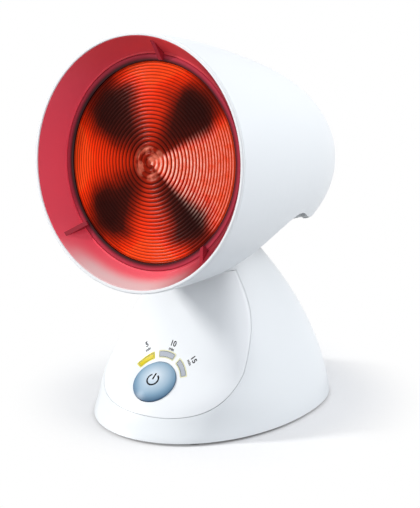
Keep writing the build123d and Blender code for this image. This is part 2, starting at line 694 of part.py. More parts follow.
def cone_radius(station):
    """Visible inner radius of the shade between the rim and the lamp."""
    mouth = RIM_RADIUS - WALL - LINER_EDGE
    share = (station - LINER_START) / (LAMP_FACE - LINER_START)
    return mouth + (LAMP_RADIUS + 1 - mouth) * share


def make_front_bezel():
    """Rounded lip round the mouth of the head."""
    inner = RIM_RADIUS - WALL
    return turned(
        [
            (0, inner + BEZEL_CHAMFER / 2),
            (0, RIM_RADIUS - BEZEL_CHAMFER),
            (BEZEL_CHAMFER, RIM_RADIUS),
            (BEZEL_DEPTH, RIM_RADIUS),
            (BEZEL_DEPTH, inner),
            (BEZEL_CHAMFER / 2, inner),
        ]
    )


def make_shade_liner():
    """Conical inner wall from the bezel back to the lamp ring, with a skirt inside the shell."""
    skirt = RIM_RADIUS - WALL
    nose = LAMP_FACE - RING_FRONT
    return turned(
        [
            (LINER_START, cone_radius(LINER_START)),
            (LINER_START, skirt),
            (BEZEL_DEPTH, skirt),
            (BEZEL_DEPTH, skirt - FACE_GAP),
            (LINER_SKIRT_END, skirt - 2 * FIT),
            (LINER_SKIRT_END, cone_radius(LINER_SKIRT_END) + LINER_THICKNESS),
            (nose, LINER_END_RADIUS),
            (LENS_BACK, LINER_END_RADIUS),
            (LENS_BACK, LAMP_RADIUS + SEAT_GAP + FACE_GAP),
            (nose, LAMP_RADIUS + SEAT_GAP + FACE_GAP),
            (nose, cone_radius(nose)),
        ]
    )


def make_lamp_ring():
    """Dark seat ring round the lamp's face."""
    outer = LAMP_RADIUS + SEAT_GAP
    inner = outer - RING_WIDTH
    front = LAMP_FACE - RING_FRONT
    back = LENS_RIM_FRONT - FACE_GAP
    return turned(
        [
            (front + RING_CHAMFER, inner),
            (front, inner + RING_CHAMFER),
            (front, outer - RING_CHAMFER),
            (front + RING_CHAMFER, outer),
            (LENS_BACK, outer),
            (LENS_BACK, LAMP_RADIUS + FACE_GAP),
            (back, LAMP_RADIUS + FACE_GAP),
            (back, inner),
        ]
    )


def make_lamp_clips():
    """Three hooks on the shade's inner wall that hold the lamp ring, one on top and two below."""
    nose = LAMP_FACE - RING_FRONT - FACE_GAP
    side = [
        (CLIP_START, cone_radius(CLIP_START) - FACE_GAP),
        (CLIP_START + CLIP_RISE, cone_radius(CLIP_START) - CLIP_RISE),
        (nose - CLIP_RISE, LAMP_RADIUS - CLIP_HOOK),
        (nose, LAMP_RADIUS - CLIP_HOOK),
        (nose, cone_radius(nose) - FACE_GAP),
    ]
    outline = make_face(Polyline(*[(0, radius, -station) for station, radius in side], close=True))
    clip = extrude(outline, amount=CLIP_WIDTH / 2, both=True)
    return Part() + [Rot(0, 0, turn) * clip for turn in (0, CLIP_LOWER_ANGLE, -CLIP_LOWER_ANGLE)]


def make_bulb_lens():
    """Crowned red glass face of the lamp with its rim."""
    crown = (LENS_RADIUS**2 + LAMP_CROWN**2) / (2 * LAMP_CROWN)
    centre = -(LAMP_FACE - LAMP_CROWN) - crown
    ball = Pos(0, 0, centre) * Sphere(crown)
    thinner = Pos(0, 0, centre) * Sphere(crown - LENS_EDGE_THICKNESS)
    neck = LAMP_RADIUS + SEAT_GAP - RING_WIDTH - FIT
    visible = rod(neck, -LENS_BACK, 0) & (ball - thinner)
    rim = rod(LAMP_RADIUS, -LENS_BACK, -LENS_RIM_FRONT) - rod(neck - FIT, -2 * LENS_BACK, 0)
    return visible + rim


def reflector_stations(grow):
    """Outline of the lamp's reflector, spread outward by an even distance."""
    sides = [(station, LAMP_RADIUS - inset) for station, inset in REFLECTOR_OUTLINE]
    stations = [(LENS_BACK, LAMP_RADIUS), *sides, (NECK_STATION, NECK_RADIUS)]
    spread = []
    for i, (station, radius) in enumerate(stations):
        ahead = stations[min(i + 1, len(stations) - 1)]
        behind = stations[max(i - 1, 0)]
        run, drop = ahead[0] - behind[0], behind[1] - ahead[1]
        length = math.hypot(run, drop)
        spread.append((station + grow * drop / length, radius + grow * run / length))
    return spread


def bowl(outer_points, inner_points):
    """Turned bowl between two smooth outlines with flat ends."""
    outer_edge = Spline(*[(radius, -station) for station, radius in outer_points])
    inner_edge = Spline(*[(radius, -station) for station, radius in inner_points])
    first = Line(outer_edge @ 0, inner_edge @ 0)
    last = Line(outer_edge @ 1, inner_edge @ 1)
    return revolve(Plane.XZ * make_face([outer_edge, last, inner_edge, first]), Axis.Z, 360)


def make_bulb_body():
    """Aluminised glass reflector behind the lens."""
    outer = reflector_stations(0)
    inner = reflector_stations(-REFLECTOR_WALL)
    start = outer[0][0]
    inner[0] = (start, inner[0][1])
    inner[-1] = (outer[-1][0], inner[-1][1])
    return bowl(outer, inner)


def make_bulb_cap():
    """Screw cap of the lamp."""
    return turned(
        [
            (NECK_STATION, NECK_RADIUS - 1),
            (NECK_STATION, NECK_RADIUS + 0.6),
            (NECK_STATION + 2, NECK_RADIUS + 0.6),
            (CAP_START, CAP_RADIUS),
            (CAP_END, CAP_RADIUS),
            (CAP_END, CAP_RADIUS - CAP_WALL),
            (CAP_START, CAP_RADIUS - CAP_WALL),
        ]
    )


def make_cap_contact():
    """Insulator and centre contact at the end of the lamp cap."""
    return turned(
        [
            (CAP_END - 3, 0),
            (CAP_END - 3, CAP_RADIUS - CAP_WALL),
            (CAP_END, CAP_RADIUS - CAP_WALL),
            (CAP_END + 2, CONTACT_RADIUS),
            (CONTACT_END, CONTACT_RADIUS),
            (CONTACT_END, 0),
        ]
    )


def make_heat_shield():
    """Aluminium bowl round the lamp, standing off its glass."""
    inner = [point for point in reflector_stations(SHIELD_GAP) if point[0] < SHIELD_COLLAR]
    outer = [point for point in reflector_stations(SHIELD_GAP + SHIELD_THICKNESS) if point[0] < SHIELD_COLLAR]
    inner[0] = (LENS_BACK, inner[0][1])
    outer[0] = (LENS_BACK, outer[0][1])
    shield = bowl(outer, inner)
    collar_inner = inner[-1][1]
    collar = rod(collar_inner + SHIELD_THICKNESS, -CHASSIS_STATION, -inner[-1][0] + SHIELD_THICKNESS)
    collar -= rod(collar_inner, -CHASSIS_STATION - 1, 0)
    flange = rod(SHIELD_FLANGE_RADIUS, -LENS_BACK - SHIELD_THICKNESS, -LENS_BACK)
    flange -= rod(inner[0][1], -2 * LENS_BACK, 0)
    return shield + collar + flange


def make_lamp_chassis():
    """Pressed steel plate across the head that carries the lamp holder and the hinge lugs."""
    back = -CHASSIS_STATION - SHEET
    plate = rod(CHASSIS_RADIUS, back, -CHASSIS_STATION)
    plate -= Pos(0, -CHASSIS_CUT - CHASSIS_RADIUS, back) * Box(4 * CHASSIS_RADIUS, 2 * CHASSIS_RADIUS, 4 * SHEET)
    plate += Pos(0, -STEM_DROP / 2, -CHASSIS_STATION - SHEET / 2) * Box(2 * STEM_HALF_WIDTH, STEM_DROP, SHEET)
    plate -= rod(CHASSIS_HOLE_RADIUS, back - 1, 0)
    for x, y in boss_places():
        plate -= rod(SCREW_RADIUS + FIT, back - 1, 0, x, y)
    for side in (-1, 1):
        plate -= rod(SCREW_RADIUS + SCREW_FIT, back - 1, 0, side * HOLDER_SCREW_X, 0)
    pivot = HEAD.to_local_coords(Vector(0, PIVOT_Y, PIVOT_LEVEL))
    for side in (-1, 1):
        lug_x = side * (LUG_X + LUG_OUTER_X) / 2
        corners = [
            (pivot.Y + HUB_RADIUS, pivot.Z),
            (pivot.Y, pivot.Z + HUB_RADIUS),
            (pivot.Y - HUB_RADIUS, pivot.Z),
            (-STEM_DROP, back),
            (-STEM_DROP + 2 * HUB_RADIUS, back),
        ]
        outline = make_face(Polyline(*[(lug_x, y, z) for y, z in corners], close=True))
        plate += extrude(outline, amount=SHEET / 2, both=True)
        hub = Pos(lug_x, pivot.Y, pivot.Z) * Rot(0, 90, 0)
        plate += hub * Cylinder(HUB_RADIUS, SHEET)
        plate -= hub * Cylinder(PIN_RADIUS + RUNNING_FIT, 3 * SHEET)
    return plate


def make_chassis_screws():
    """Four screws that hold the chassis to the head's bosses."""
    return Part() + [Pos(x, y, -CHASSIS_STATION) * screw(HEAD_SCREW_LENGTH) for x, y in boss_places()]


def make_lamp_holder():
    """Ceramic lamp holder with a flange on the back of the chassis."""
    front = CHASSIS_STATION + SHEET
    bore = CAP_RADIUS + HOLDER_BORE_FIT
    holder = turned(
        [
            (front, HOLDER_MOUTH_RADIUS),
            (front, HOLDER_FLANGE_RADIUS),
            (front + HOLDER_FLANGE, HOLDER_FLANGE_RADIUS),
            (front + HOLDER_FLANGE, HOLDER_NECK_RADIUS),
            (CAP_START, HOLDER_NECK_RADIUS),
            (CAP_START + 2, HOLDER_BODY_RADIUS),
            (HOLDER_END - 2, HOLDER_BODY_RADIUS),
            (HOLDER_END, HOLDER_BODY_RADIUS - 3),
            (HOLDER_END, 0),
            (HOLDER_FLOOR, 0),
            (HOLDER_FLOOR, bore),
            (CAP_START + 1, bore),
            (NECK_STATION + 4, NECK_RADIUS + 2),
        ]
    )
    for side in (-1, 1):
        holder -= rod(SCREW_RADIUS + SCREW_FIT, -front - 2 * HOLDER_FLANGE, 0, side * HOLDER_SCREW_X, 0)
    return holder


def make_holder_contact():
    """Springy centre contact on the floor of the holder."""
    return rod(CONTACT_RADIUS - 1, -HOLDER_FLOOR, -CONTACT_END - FACE_GAP)


def make_holder_screws():
    """Two screws that hold the lamp holder to the chassis."""
    seat = -(CHASSIS_STATION + SHEET + HOLDER_FLANGE)
    one = Rot(180, 0, 0) * screw(HOLDER_FLANGE + SHEET)
    return Part() + [Pos(side * HOLDER_SCREW_X, 0, seat) * one for side in (-1, 1)]


def in_head(shape):
    """Place a piece drawn in the head frame."""
    return HEAD.location * shape


# ---------------------------------------------------------------- assembly
def main():
    """Build every piece and write it."""
    os.makedirs("parts", exist_ok=True)
    outer = stand_form(0, SHELL_BOTTOM, ROOF_LEVEL)
    inner = stand_form(WALL, 0, ROOF_LEVEL - WALL)
    ledge_back = stand_form(WALL + LEDGE_THICKNESS, 0, ROOF_LEVEL - WALL - FACE_GAP)
    panel_back = stand_form(PANEL_THICKNESS, 0, ROOF_LEVEL - WALL)
    panel_inside = stand_form(PANEL_THICKNESS / 2, 0, ROOF_LEVEL - WALL)

    write("base_shell", make_base_shell(outer, inner, ledge_back))
    write("front_panel", make_front_panel(outer, panel_back, panel_inside, ledge_back))
    write("power_button", make_power_button())
    for minutes, angle in WINDOW_ANGLES.items():
        write(f"timer_window_{minutes}", make_timer_window(angle, outer, panel_back))
    write("control_board", make_control_board())
    write("board_screws", make_board_screws())
    write("power_switch", make_power_switch())
    write("timer_leds", make_timer_leds())

    write("base_plate", make_base_plate())
    base_screw = Rot(180, 0, 0) * screw(BASE_SCREW_LENGTH)
    base_seat = BENCH_GAP + SCREW_HEAD_HEIGHT
    write("base_screws", Part() + [Pos(x, y, base_seat) * base_screw for x, y in PILLAR_PLACES])
    foot = rod(FOOT_RADIUS, 0, BENCH_GAP) + rod(FOOT_STEM_RADIUS, 0, PLATE_TOP - FIT)
    write("rubber_feet", Part() + [Pos(x, y, 0) * foot for x, y in FOOT_PLACES])
    write("cord_gland", make_cord_gland())
    write("power_board", make_power_board())
    write("transformer", on_power_board(TRANSFORMER_SIZE, TRANSFORMER_PLACE))
    write("relay", on_power_board(RELAY_SIZE, RELAY_PLACE))
    write("terminal_block", make_terminal_block())
    write("capacitor", rod(CAPACITOR_RADIUS, POWER_BOARD_TOP, POWER_BOARD_TOP + CAPACITOR_HEIGHT,
                           CAPACITOR_PLACE[0], POWER_BOARD_Y + CAPACITOR_PLACE[1]))

    write("tilt_bracket", make_tilt_bracket())
    write("bracket_screws", make_bracket_screws())
    write("hinge_pin", make_hinge_pin())
    write("hinge_nut", make_hinge_nut())
    write("hinge_spacer", cross_washer(SPACER_RADIUS, PIN_RADIUS + RUNNING_FIT,
                                       FACE_GAP - EAR_INNER_X, EAR_INNER_X - FACE_GAP))
    write("detent_disc", make_detent_disc())
    write("friction_washer", cross_washer(WASHER_RADIUS, PIN_RADIUS + RUNNING_FIT,
                                          DISC_X, DISC_X + DISC_THICKNESS))
    springs = [cross_washer(WASHER_RADIUS, PIN_RADIUS + RUNNING_FIT, *sorted((side * SPRING_X,
               side * (SPRING_X + DISC_THICKNESS)))) for side in (-1, 1)]
    write("spring_washers", Part() + springs)

    write("head_shell", in_head(make_head_shell()))
    write("front_bezel", in_head(make_front_bezel()))
    write("shade_liner", in_head(make_shade_liner()))
    write("lamp_ring", in_head(make_lamp_ring()))
    write("lamp_clips", in_head(make_lamp_clips()))
    write("bulb_lens", in_head(make_bulb_lens()))
    write("bulb_body", in_head(make_bulb_body()))
    write("bulb_cap", in_head(make_bulb_cap()))
    write("cap_contact", in_head(make_cap_contact()))
    write("heat_shield", in_head(make_heat_shield()))
    write("lamp_chassis", in_head(make_lamp_chassis()))
    write("chassis_screws", in_head(make_chassis_screws()))
    write("lamp_holder", in_head(make_lamp_holder()))
    write("holder_contact", in_head(make_holder_contact()))
    write("holder_screws", in_head(make_holder_screws()))


main()
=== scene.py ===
"""Tabletop infrared heat lamp: a bullet-shaped head that tilts on a domed stand.

Each sub-assembly is a class that builds its own pieces and dresses the solids it carries over.
Lengths in the classes are millimetres; meshes are written in metres in the model's own frame.
"""
import json
import logging
import math
from dataclasses import dataclass
from enum import Enum
from typing import Any

import bmesh
import bpy
import numpy as np
from bpy.types import ID, Material, Node, NodeSocket, NodeTree, Object
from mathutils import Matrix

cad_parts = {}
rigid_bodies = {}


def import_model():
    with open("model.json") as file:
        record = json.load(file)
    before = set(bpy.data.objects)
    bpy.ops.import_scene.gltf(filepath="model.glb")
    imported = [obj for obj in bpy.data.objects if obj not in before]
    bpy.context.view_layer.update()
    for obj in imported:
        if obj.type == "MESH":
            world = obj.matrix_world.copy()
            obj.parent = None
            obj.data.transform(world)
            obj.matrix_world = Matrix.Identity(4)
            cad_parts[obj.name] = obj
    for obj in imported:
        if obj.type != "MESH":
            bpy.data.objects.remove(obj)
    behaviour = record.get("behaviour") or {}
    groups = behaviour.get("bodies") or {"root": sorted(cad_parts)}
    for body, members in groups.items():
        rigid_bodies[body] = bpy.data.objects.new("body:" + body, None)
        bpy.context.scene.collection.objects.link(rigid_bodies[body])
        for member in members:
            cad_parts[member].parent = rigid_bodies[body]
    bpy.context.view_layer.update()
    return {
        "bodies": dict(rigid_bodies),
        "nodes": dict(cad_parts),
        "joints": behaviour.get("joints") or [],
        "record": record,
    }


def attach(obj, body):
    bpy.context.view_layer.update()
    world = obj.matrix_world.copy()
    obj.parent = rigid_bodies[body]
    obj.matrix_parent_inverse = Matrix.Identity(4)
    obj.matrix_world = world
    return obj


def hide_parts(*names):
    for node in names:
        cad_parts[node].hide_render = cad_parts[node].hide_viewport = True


LOG = logging.getLogger("heat_lamp")
MM = 0.001
# Points nearer than this, in metres, are one point: in a grid, in type and in a solid's loose triangles.
WELD, TYPE_WELD, SOLID_WELD = 1e-7, 1e-6, 2e-6
# Node settings that come again and again: a range that eases in and out, and a mix of two colours.
SMOOTH = {"interpolation_type": "SMOOTHSTEP"}
COLOURS = {"data_type": "RGBA"}
Pair = tuple[float, float]
Triple = tuple[float, float, float]
Colour = tuple[float, float, float, float]
Source = Node | NodeSocket


class Body(str, Enum):
    """The rigid bodies that the pieces ride on."""

    BASE = "base"
    BUTTON = "button"
    HEAD = "head"


class Kind(str, Enum):
    """The shader nodes that more than one finish uses."""

    BACKGROUND = "ShaderNodeBackground"
    BUMP = "ShaderNodeBump"
    COMBINE = "ShaderNodeCombineXYZ"
    COORDINATES = "ShaderNodeTexCoord"
    EMISSION = "ShaderNodeEmission"
    LIGHT_PATH = "ShaderNodeLightPath"
    MAPPING = "ShaderNodeMapping"
    MATH = "ShaderNodeMath"
    MIX = "ShaderNodeMix"
    MIX_SHADER = "ShaderNodeMixShader"
    NOISE = "ShaderNodeTexNoise"
    OUTPUT = "ShaderNodeOutputMaterial"
    PRINCIPLED = "ShaderNodeBsdfPrincipled"
    RAMP = "ShaderNodeValToRGB"
    RANGE = "ShaderNodeMapRange"
    VECTOR = "ShaderNodeVectorMath"


# ---- small helpers
def linear(colour: str) -> Colour:
    """Turn an sRGB hex colour into linear light.

    Args:
        colour: six hex digits, such as "F4F6F7".

    Returns:
        Red, green, blue and an alpha of 1.
    """
    parts = np.array([int(colour[i:i + 2], 16) for i in (0, 2, 4)]) / 255.0
    light = np.where(parts <= 0.04045, parts / 12.92, ((parts + 0.055) / 1.055) ** 2.4)
    return (float(light[0]), float(light[1]), float(light[2]), 1.0)


def deeper(colour: Colour, share: float) -> Colour:
    """Darken a linear colour.

    Args:
        colour: red, green, blue and alpha.
        share: how much of the light is taken away, from 0 to 1.

    Returns:
        The darker colour, with its alpha kept.
    """
    red, green, blue, alpha = colour
    left = 1.0 - share
    return (red * left, green * left, blue * left, alpha)


def span(given: Pair, result: Pair = (0.0, 1.0), unit: float = MM) -> dict[int, float]:
    """Constants for a range: the two limits of what goes in and the two values that come out.

    Args:
        given: the limits, in millimetres if no other unit is named.
        result: the values at those limits.
        unit: what one of the limits' units is to the shader.

    Returns:
        The constants by input number.
    """
    return {1: given[0] * unit, 2: given[1] * unit, 3: result[0], 4: result[1]}


def add_node(
    tree: NodeTree,
    kind: str,
    values: dict[Any, Any] | None = None,
    links: dict[Any, Source] | None = None,
    **settings: Any,
) -> Node:
    """Add one node with its settings, constants and links.

    Args:
        tree: the node tree that gets the node.
        kind: the node's type name.
        values: constants by input name or number.
        links: what feeds an input, by its name or number: a socket, or a node for its first output in use.
        **settings: the node's own properties.

    Returns:
        The new node.
    """
    node = tree.nodes.new(kind)
    for key, value in settings.items():
        setattr(node, key, value)
    for key, value in (values or {}).items():
        node.inputs[key].default_value = value
    for key, source in (links or {}).items():
        if isinstance(source, Node):
            source = next(socket for socket in source.outputs if socket.enabled)
        tree.links.new(source, node.inputs[key])
    return node


def new_material(name: str) -> tuple[Material, NodeTree, dict[str, Source]]:
    """Start a material with object coordinates alone in its tree.

    Args:
        name: the finish's name.

    Returns:
        The material, its tree, and the link that gives object coordinates to a texture.
    """
    material = bpy.data.materials.new(name)
    material.use_nodes = True
    tree = material.node_tree
    tree.nodes.clear()
    return material, tree, {"Vector": add_node(tree, Kind.COORDINATES).outputs["Object"]}


def set_ramp(node: Node, stops: tuple[tuple[float, str], ...]) -> None:
    """Give a colour ramp its stops.

    Args:
        node: the Color Ramp node.
        stops: (place from 0 to 1, sRGB hex colour) pairs in order.
    """
    elements = node.color_ramp.elements
    while len(elements) < len(stops):
        elements.new(1.0)
    for element, (place, colour) in zip(elements, stops):
        element.position = place
        element.color = linear(colour)


def put_in_scene(name: str, data: ID) -> Object:
    """Make an object of a mesh, type, light or camera, and put it in the scene.

    Args:
        name: the object's name.
        data: what it shows.

    Returns:
        The new object.
    """
    item = bpy.data.objects.new(name, data)
    bpy.context.scene.collection.objects.link(item)
    return item


@dataclass(frozen=True)
class LocalFrame:
    """A frame that is turned about X only, with its own origin in millimetres."""

    origin: Triple
    turn: float

    def place(self, points: np.ndarray) -> np.ndarray:
        """Move local points to the model's frame: turn about X, then shift.

        Args:
            points: array (..., 3) of local points in millimetres.

        Returns:
            Array of the same shape in metres.
        """
        c, s = math.cos(self.turn), math.sin(self.turn)
        x, y, z = points[..., 0], points[..., 1], points[..., 2]
        world = np.stack([x, y * c - z * s, y * s + z * c], axis=-1)
        return (world + np.array(self.origin)) * MM

    def coordinates(self, tree: NodeTree) -> Node:
        """Nodes that give a shader this frame's own coordinates, in metres.

        Args:
            tree: the material's tree.

        Returns:
            A Separate XYZ node of the local position.
        """
        where = add_node(tree, Kind.COORDINATES)
        mapping = add_node(
            tree,
            Kind.MAPPING,
            {"Location": tuple(v * MM for v in self.origin), "Rotation": (self.turn, 0.0, 0.0)},
            {"Vector": where.outputs["Object"]},
            vector_type="TEXTURE",
        )
        return add_node(tree, "ShaderNodeSeparateXYZ", links={0: mapping})


HEAD_FRAME = LocalFrame(origin=(0.0, -80.3336, 162.1), turn=math.radians(80.0))
CONTROL_FRAME = LocalFrame(origin=(0.0, -64.4251, 28.0), turn=math.radians(39.4111))


# ---- meshes
def grid_piece(name: str, grid: np.ndarray, wrap_u: bool = False, wrap_v: bool = False) -> Object:
    """Make a mesh object from a grid of points, one quad for each cell.

    Doubled points, as at a pole, are merged, and all faces are turned outward.

    Args:
        name: the piece's name.
        grid: array (rows, columns, 3) of points in metres.
        wrap_u: whether the last row joins the first.
        wrap_v: whether the last column joins the first.

    Returns:
        The new object, at the origin.
    """
    rows, columns = grid.shape[:2]
    number = np.arange(rows * columns).reshape(rows, columns)
    if wrap_u:
        number = np.concatenate([number, number[:1]], axis=0)
    if wrap_v:
        number = np.concatenate([number, number[:, :1]], axis=1)
    quads = np.stack([number[:-1, :-1], number[1:, :-1], number[1:, 1:], number[:-1, 1:]], axis=-1)
    mesh = bpy.data.meshes.new(name)
    mesh.from_pydata(grid.reshape(-1, 3).tolist(), [], quads.reshape(-1, 4).tolist())
    shape = bmesh.new()
    shape.from_mesh(mesh)
    bmesh.ops.remove_doubles(shape, verts=shape.verts, dist=WELD)
    bmesh.ops.recalc_face_normals(shape, faces=shape.faces)
    shape.to_mesh(mesh)
    shape.free()
    mesh.shade_smooth()
    return put_in_scene(name, mesh)


def turned_piece(name: str, frame: LocalFrame, profile: np.ndarray, around: int) -> Object:
    """Turn a profile about a frame's Z axis.

    Each point (r, z) of the profile becomes the circle (r sin t, r cos t, z).

    Args:
        name: the piece's name.
        frame: the frame whose Z is the axis.
        profile: array (n, 2) of (radius, z) in millimetres, from axis to axis or closed.
        around: how many points go round.

    Returns:
        The closed piece.
    """
    turn = np.linspace(0.0, 2.0 * math.pi, around, endpoint=False)
    radius, height = profile[:, :1], profile[:, 1:]
    level = np.broadcast_to(height, (len(profile), around))
    local = np.stack([radius * np.sin(turn), radius * np.cos(turn), level], axis=-1)
    closed = bool(profile[0, 0] > 1e-6)
    return grid_piece(name, frame.place(local), wrap_u=closed, wrap_v=True)


def ribbon(path: np.ndarray, width: float, closed: bool) -> np.ndarray:
    """Flat strip along a plane path: each point moved half the width along the path's left and right normal.

    Args:
        path: array (n, 2) in millimetres.
        width: the strip's width in millimetres.
        closed: whether the path joins up.

    Returns:
        Array (n, 3, 2) of points across the strip.
    """
    if closed:
        along = np.roll(path, -1, axis=0) - np.roll(path, 1, axis=0)
    else:
        along = np.gradient(path, axis=0)
    along = along / np.linalg.norm(along, axis=1, keepdims=True)
    normal = np.stack([-along[:, 1], along[:, 0]], axis=-1)
    shares = np.array([-0.5, 0.0, 0.5]).reshape(1, 3, 1)
    return path[:, None, :] + shares * width * normal[:, None, :]


def settle(piece: Object) -> None:
    """Apply a piece's modifiers and place, so that it ends at the origin, unturned and unscaled.

    Args:
        piece: the object.
    """
    bpy.context.view_layer.update()
    graph = bpy.context.evaluated_depsgraph_get()
    mesh = bpy.data.meshes.new_from_object(piece.evaluated_get(graph))
    mesh.transform(piece.matrix_world)
    piece.modifiers.clear()
    piece.data = mesh
    piece.matrix_world.identity()
    piece.location = (0.0, 0.0, 0.0)
    piece.rotation_euler = (0.0, 0.0, 0.0)


def lay_on(piece: Object, frame: LocalFrame, carrier: Object, thickness: float) -> None:
    """Print a flat piece on a solid: drop it along the frame's Z onto the face, then give it its thickness.

    Args:
        piece: flat object drawn in the frame, in metres.
        frame: the frame that it is drawn in.
        carrier: the solid that carries it.
        thickness: the print's thickness in millimetres.
    """
    piece.rotation_euler = (frame.turn, 0.0, 0.0)
    piece.location = tuple(v * MM for v in frame.origin)
    wrap = piece.modifiers.new("drop", "SHRINKWRAP")
    wrap.target = carrier
    wrap.wrap_method = "PROJECT"
    wrap.use_project_z = True
    wrap.use_negative_direction = True
    wrap.use_positive_direction = False
    wrap.offset = 0.5 * thickness * MM
    thick = piece.modifiers.new("ink", "SOLIDIFY")
    thick.thickness = thickness * MM
    thick.offset = 0.0
    settle(piece)


def soft_edges(angle: float = 30.0) -> NodeTree:
    """Geometry nodes that join a solid's loose triangles and shade its curved faces smooth.

    Args:
        angle: edges sharper than this, in degrees, stay crisp.

    Returns:
        The node group, for a modifier.
    """
    tree = bpy.data.node_groups.new("smooth_faces", "GeometryNodeTree")
    tree.interface.new_socket("Geometry", in_out="INPUT", socket_type="NodeSocketGeometry")
    tree.interface.new_socket("Geometry", in_out="OUTPUT", socket_type="NodeSocketGeometry")
    source = add_node(tree, "NodeGroupInput")
    merged = add_node(tree, "GeometryNodeMergeByDistance", {"Distance": SOLID_WELD}, {"Geometry": source})
    shade = "GeometryNodeSetShadeSmooth"
    faces = add_node(tree, shade, {"Shade Smooth": True}, {0: merged}, domain="FACE")
    bend = add_node(tree, "GeometryNodeInputMeshEdgeAngle")
    limit = {"data_type": "FLOAT", "operation": "GREATER_THAN"}
    sharp = add_node(tree, "FunctionNodeCompare", {1: math.radians(angle)}, {0: bend}, **limit)
    edges = add_node(tree, shade, {"Shade Smooth": False}, {0: faces, 1: sharp}, domain="EDGE")
    add_node(tree, "NodeGroupOutput", links={0: edges})
    return tree


# ---- finishes
@dataclass(frozen=True)
class MouldedPlastic:
    """Injection-moulded ABS: the mould's fine spark-eroded grain breaks up the gloss."""

    name: str
    colour: str
    roughness: float = 0.32
    grain_mm: float = 0.5
    grain_depth_mm: float = 0.05
    relief: float = 0.04
    coat: float = 0.0
    coat_roughness: float = 0.06
    shade: float = 0.06
    sheen: float = 0.2
    spread: float = 0.04
    clouds_per_metre: float = 18.0
    ior: float = 1.52

    def build(self) -> Material:
        """Make the material: noise of the grain's size drives a faint bump, roughness and tone.

        Returns:
            The material.
        """
        material, tree, where = new_material(self.name)
        grain = add_node(tree, Kind.NOISE, {"Scale": 1.0 / (self.grain_mm * MM), "Detail": 2.0}, where)
        cloud = add_node(tree, Kind.NOISE, {"Scale": self.clouds_per_metre, "Detail": 2.0}, where)
        base = linear(self.colour)
        tone = add_node(tree, Kind.MIX, {6: base, 7: deeper(base, self.shade)}, {0: cloud}, **COLOURS)
        glosses = {3: self.roughness - self.spread, 4: self.roughness + self.spread}
        gloss = add_node(tree, Kind.RANGE, glosses, {0: grain})
        depth = {"Strength": self.relief, "Distance": self.grain_depth_mm * MM}
        bump = add_node(tree, Kind.BUMP, depth, {"Height": grain})
        look = {"IOR": self.ior, "Specular IOR Level": self.sheen, "Coat Weight": self.coat}
        look["Coat Roughness"] = self.coat_roughness
        feeds = {"Base Color": tone, "Roughness": gloss, "Normal": bump}
        surface = add_node(tree, Kind.PRINCIPLED, look, feeds)
        add_node(tree, Kind.OUTPUT, links={0: surface})
        return material


@dataclass(frozen=True)
class ShadeWallPaintedLight:
    """Shade wall in painted light: crimson as a painted red glow of the lit bulb, browner painted shade
    above, a paler painted highlight below near the lip, and deeper painted shade aside.

    Each pair in millimetres says where a change of tint starts and where it is complete.
    """

    name: str
    # Crimson painted red glow of the lit bulb; painted shade above and aside; painted highlight below.
    wall: str = "F14A5E"
    above: str = "DB444B"
    below: str = "E2BEBE"
    aside: str = "5E121C"
    above_mm: Pair = (30.0, 80.0)
    below_mm: Pair = (-34.0, -60.0)
    depth_mm: Pair = (-12.5, -4.0)
    aside_mm: Pair = (12.0, 55.0)
    wash_inside: float = 0.15
    aside_most: float = 0.8
    streaks_per_metre: float = 22.0
    sway_mm: float = 22.0
    roughness: float = 0.30
    sheen: float = 0.2
    ior: float = 1.58

    def build(self) -> Material:
        """Make the material: height in the head picks the painted glow, shade and highlight, and soft streaks
        run round the wall.

        Returns:
            The material.
        """
        material, tree, where = new_material(self.name)
        local = HEAD_FRAME.coordinates(tree)
        streak = add_node(tree, Kind.NOISE, {"Scale": self.streaks_per_metre, "Detail": 3.0}, where)
        lift = {0: streak, 2: local.outputs["Y"]}
        sway = add_node(tree, Kind.MATH, {1: self.sway_mm * MM}, lift, operation="MULTIPLY_ADD")
        # Painted shade: browner towards the top of the wall.
        up = add_node(tree, Kind.RANGE, span(self.above_mm), {0: sway}, **SMOOTH)
        # Painted highlight: paler towards the bottom, only near the lip.
        down = add_node(tree, Kind.RANGE, span(self.below_mm), {0: sway}, **SMOOTH)
        inward = span(self.depth_mm, (self.wash_inside, 1.0))
        depth = add_node(tree, Kind.RANGE, inward, {0: local.outputs["Z"]}, **SMOOTH)
        painted_highlight_share = add_node(tree, Kind.MATH, links={0: down, 1: depth}, operation="MULTIPLY")
        # The crimson wall colour is a painted red glow of the lit bulb.
        glow_and_shade_tones = {6: linear(self.wall), 7: linear(self.above)}
        upper = add_node(tree, Kind.MIX, glow_and_shade_tones, {0: up}, **COLOURS)
        tint = add_node(tree, Kind.MIX, {7: linear(self.below)}, {0: painted_highlight_share, 6: upper}, **COLOURS)
        # Painted shade: deeper crimson on the wall's +X side.
        sideways = span(self.aside_mm, (0.0, self.aside_most))
        painted_shade_share = add_node(tree, Kind.RANGE, sideways, {0: local.outputs["X"]}, **SMOOTH)
        shaded = add_node(tree, Kind.MIX, {7: linear(self.aside)}, {0: painted_shade_share, 6: tint}, **COLOURS)
        look = {"Roughness": self.roughness, "IOR": self.ior, "Specular IOR Level": self.sheen}
        surface = add_node(tree, Kind.PRINCIPLED, look, {"Base Color": shaded})
        add_node(tree, Kind.OUTPUT, links={0: surface})
        return material


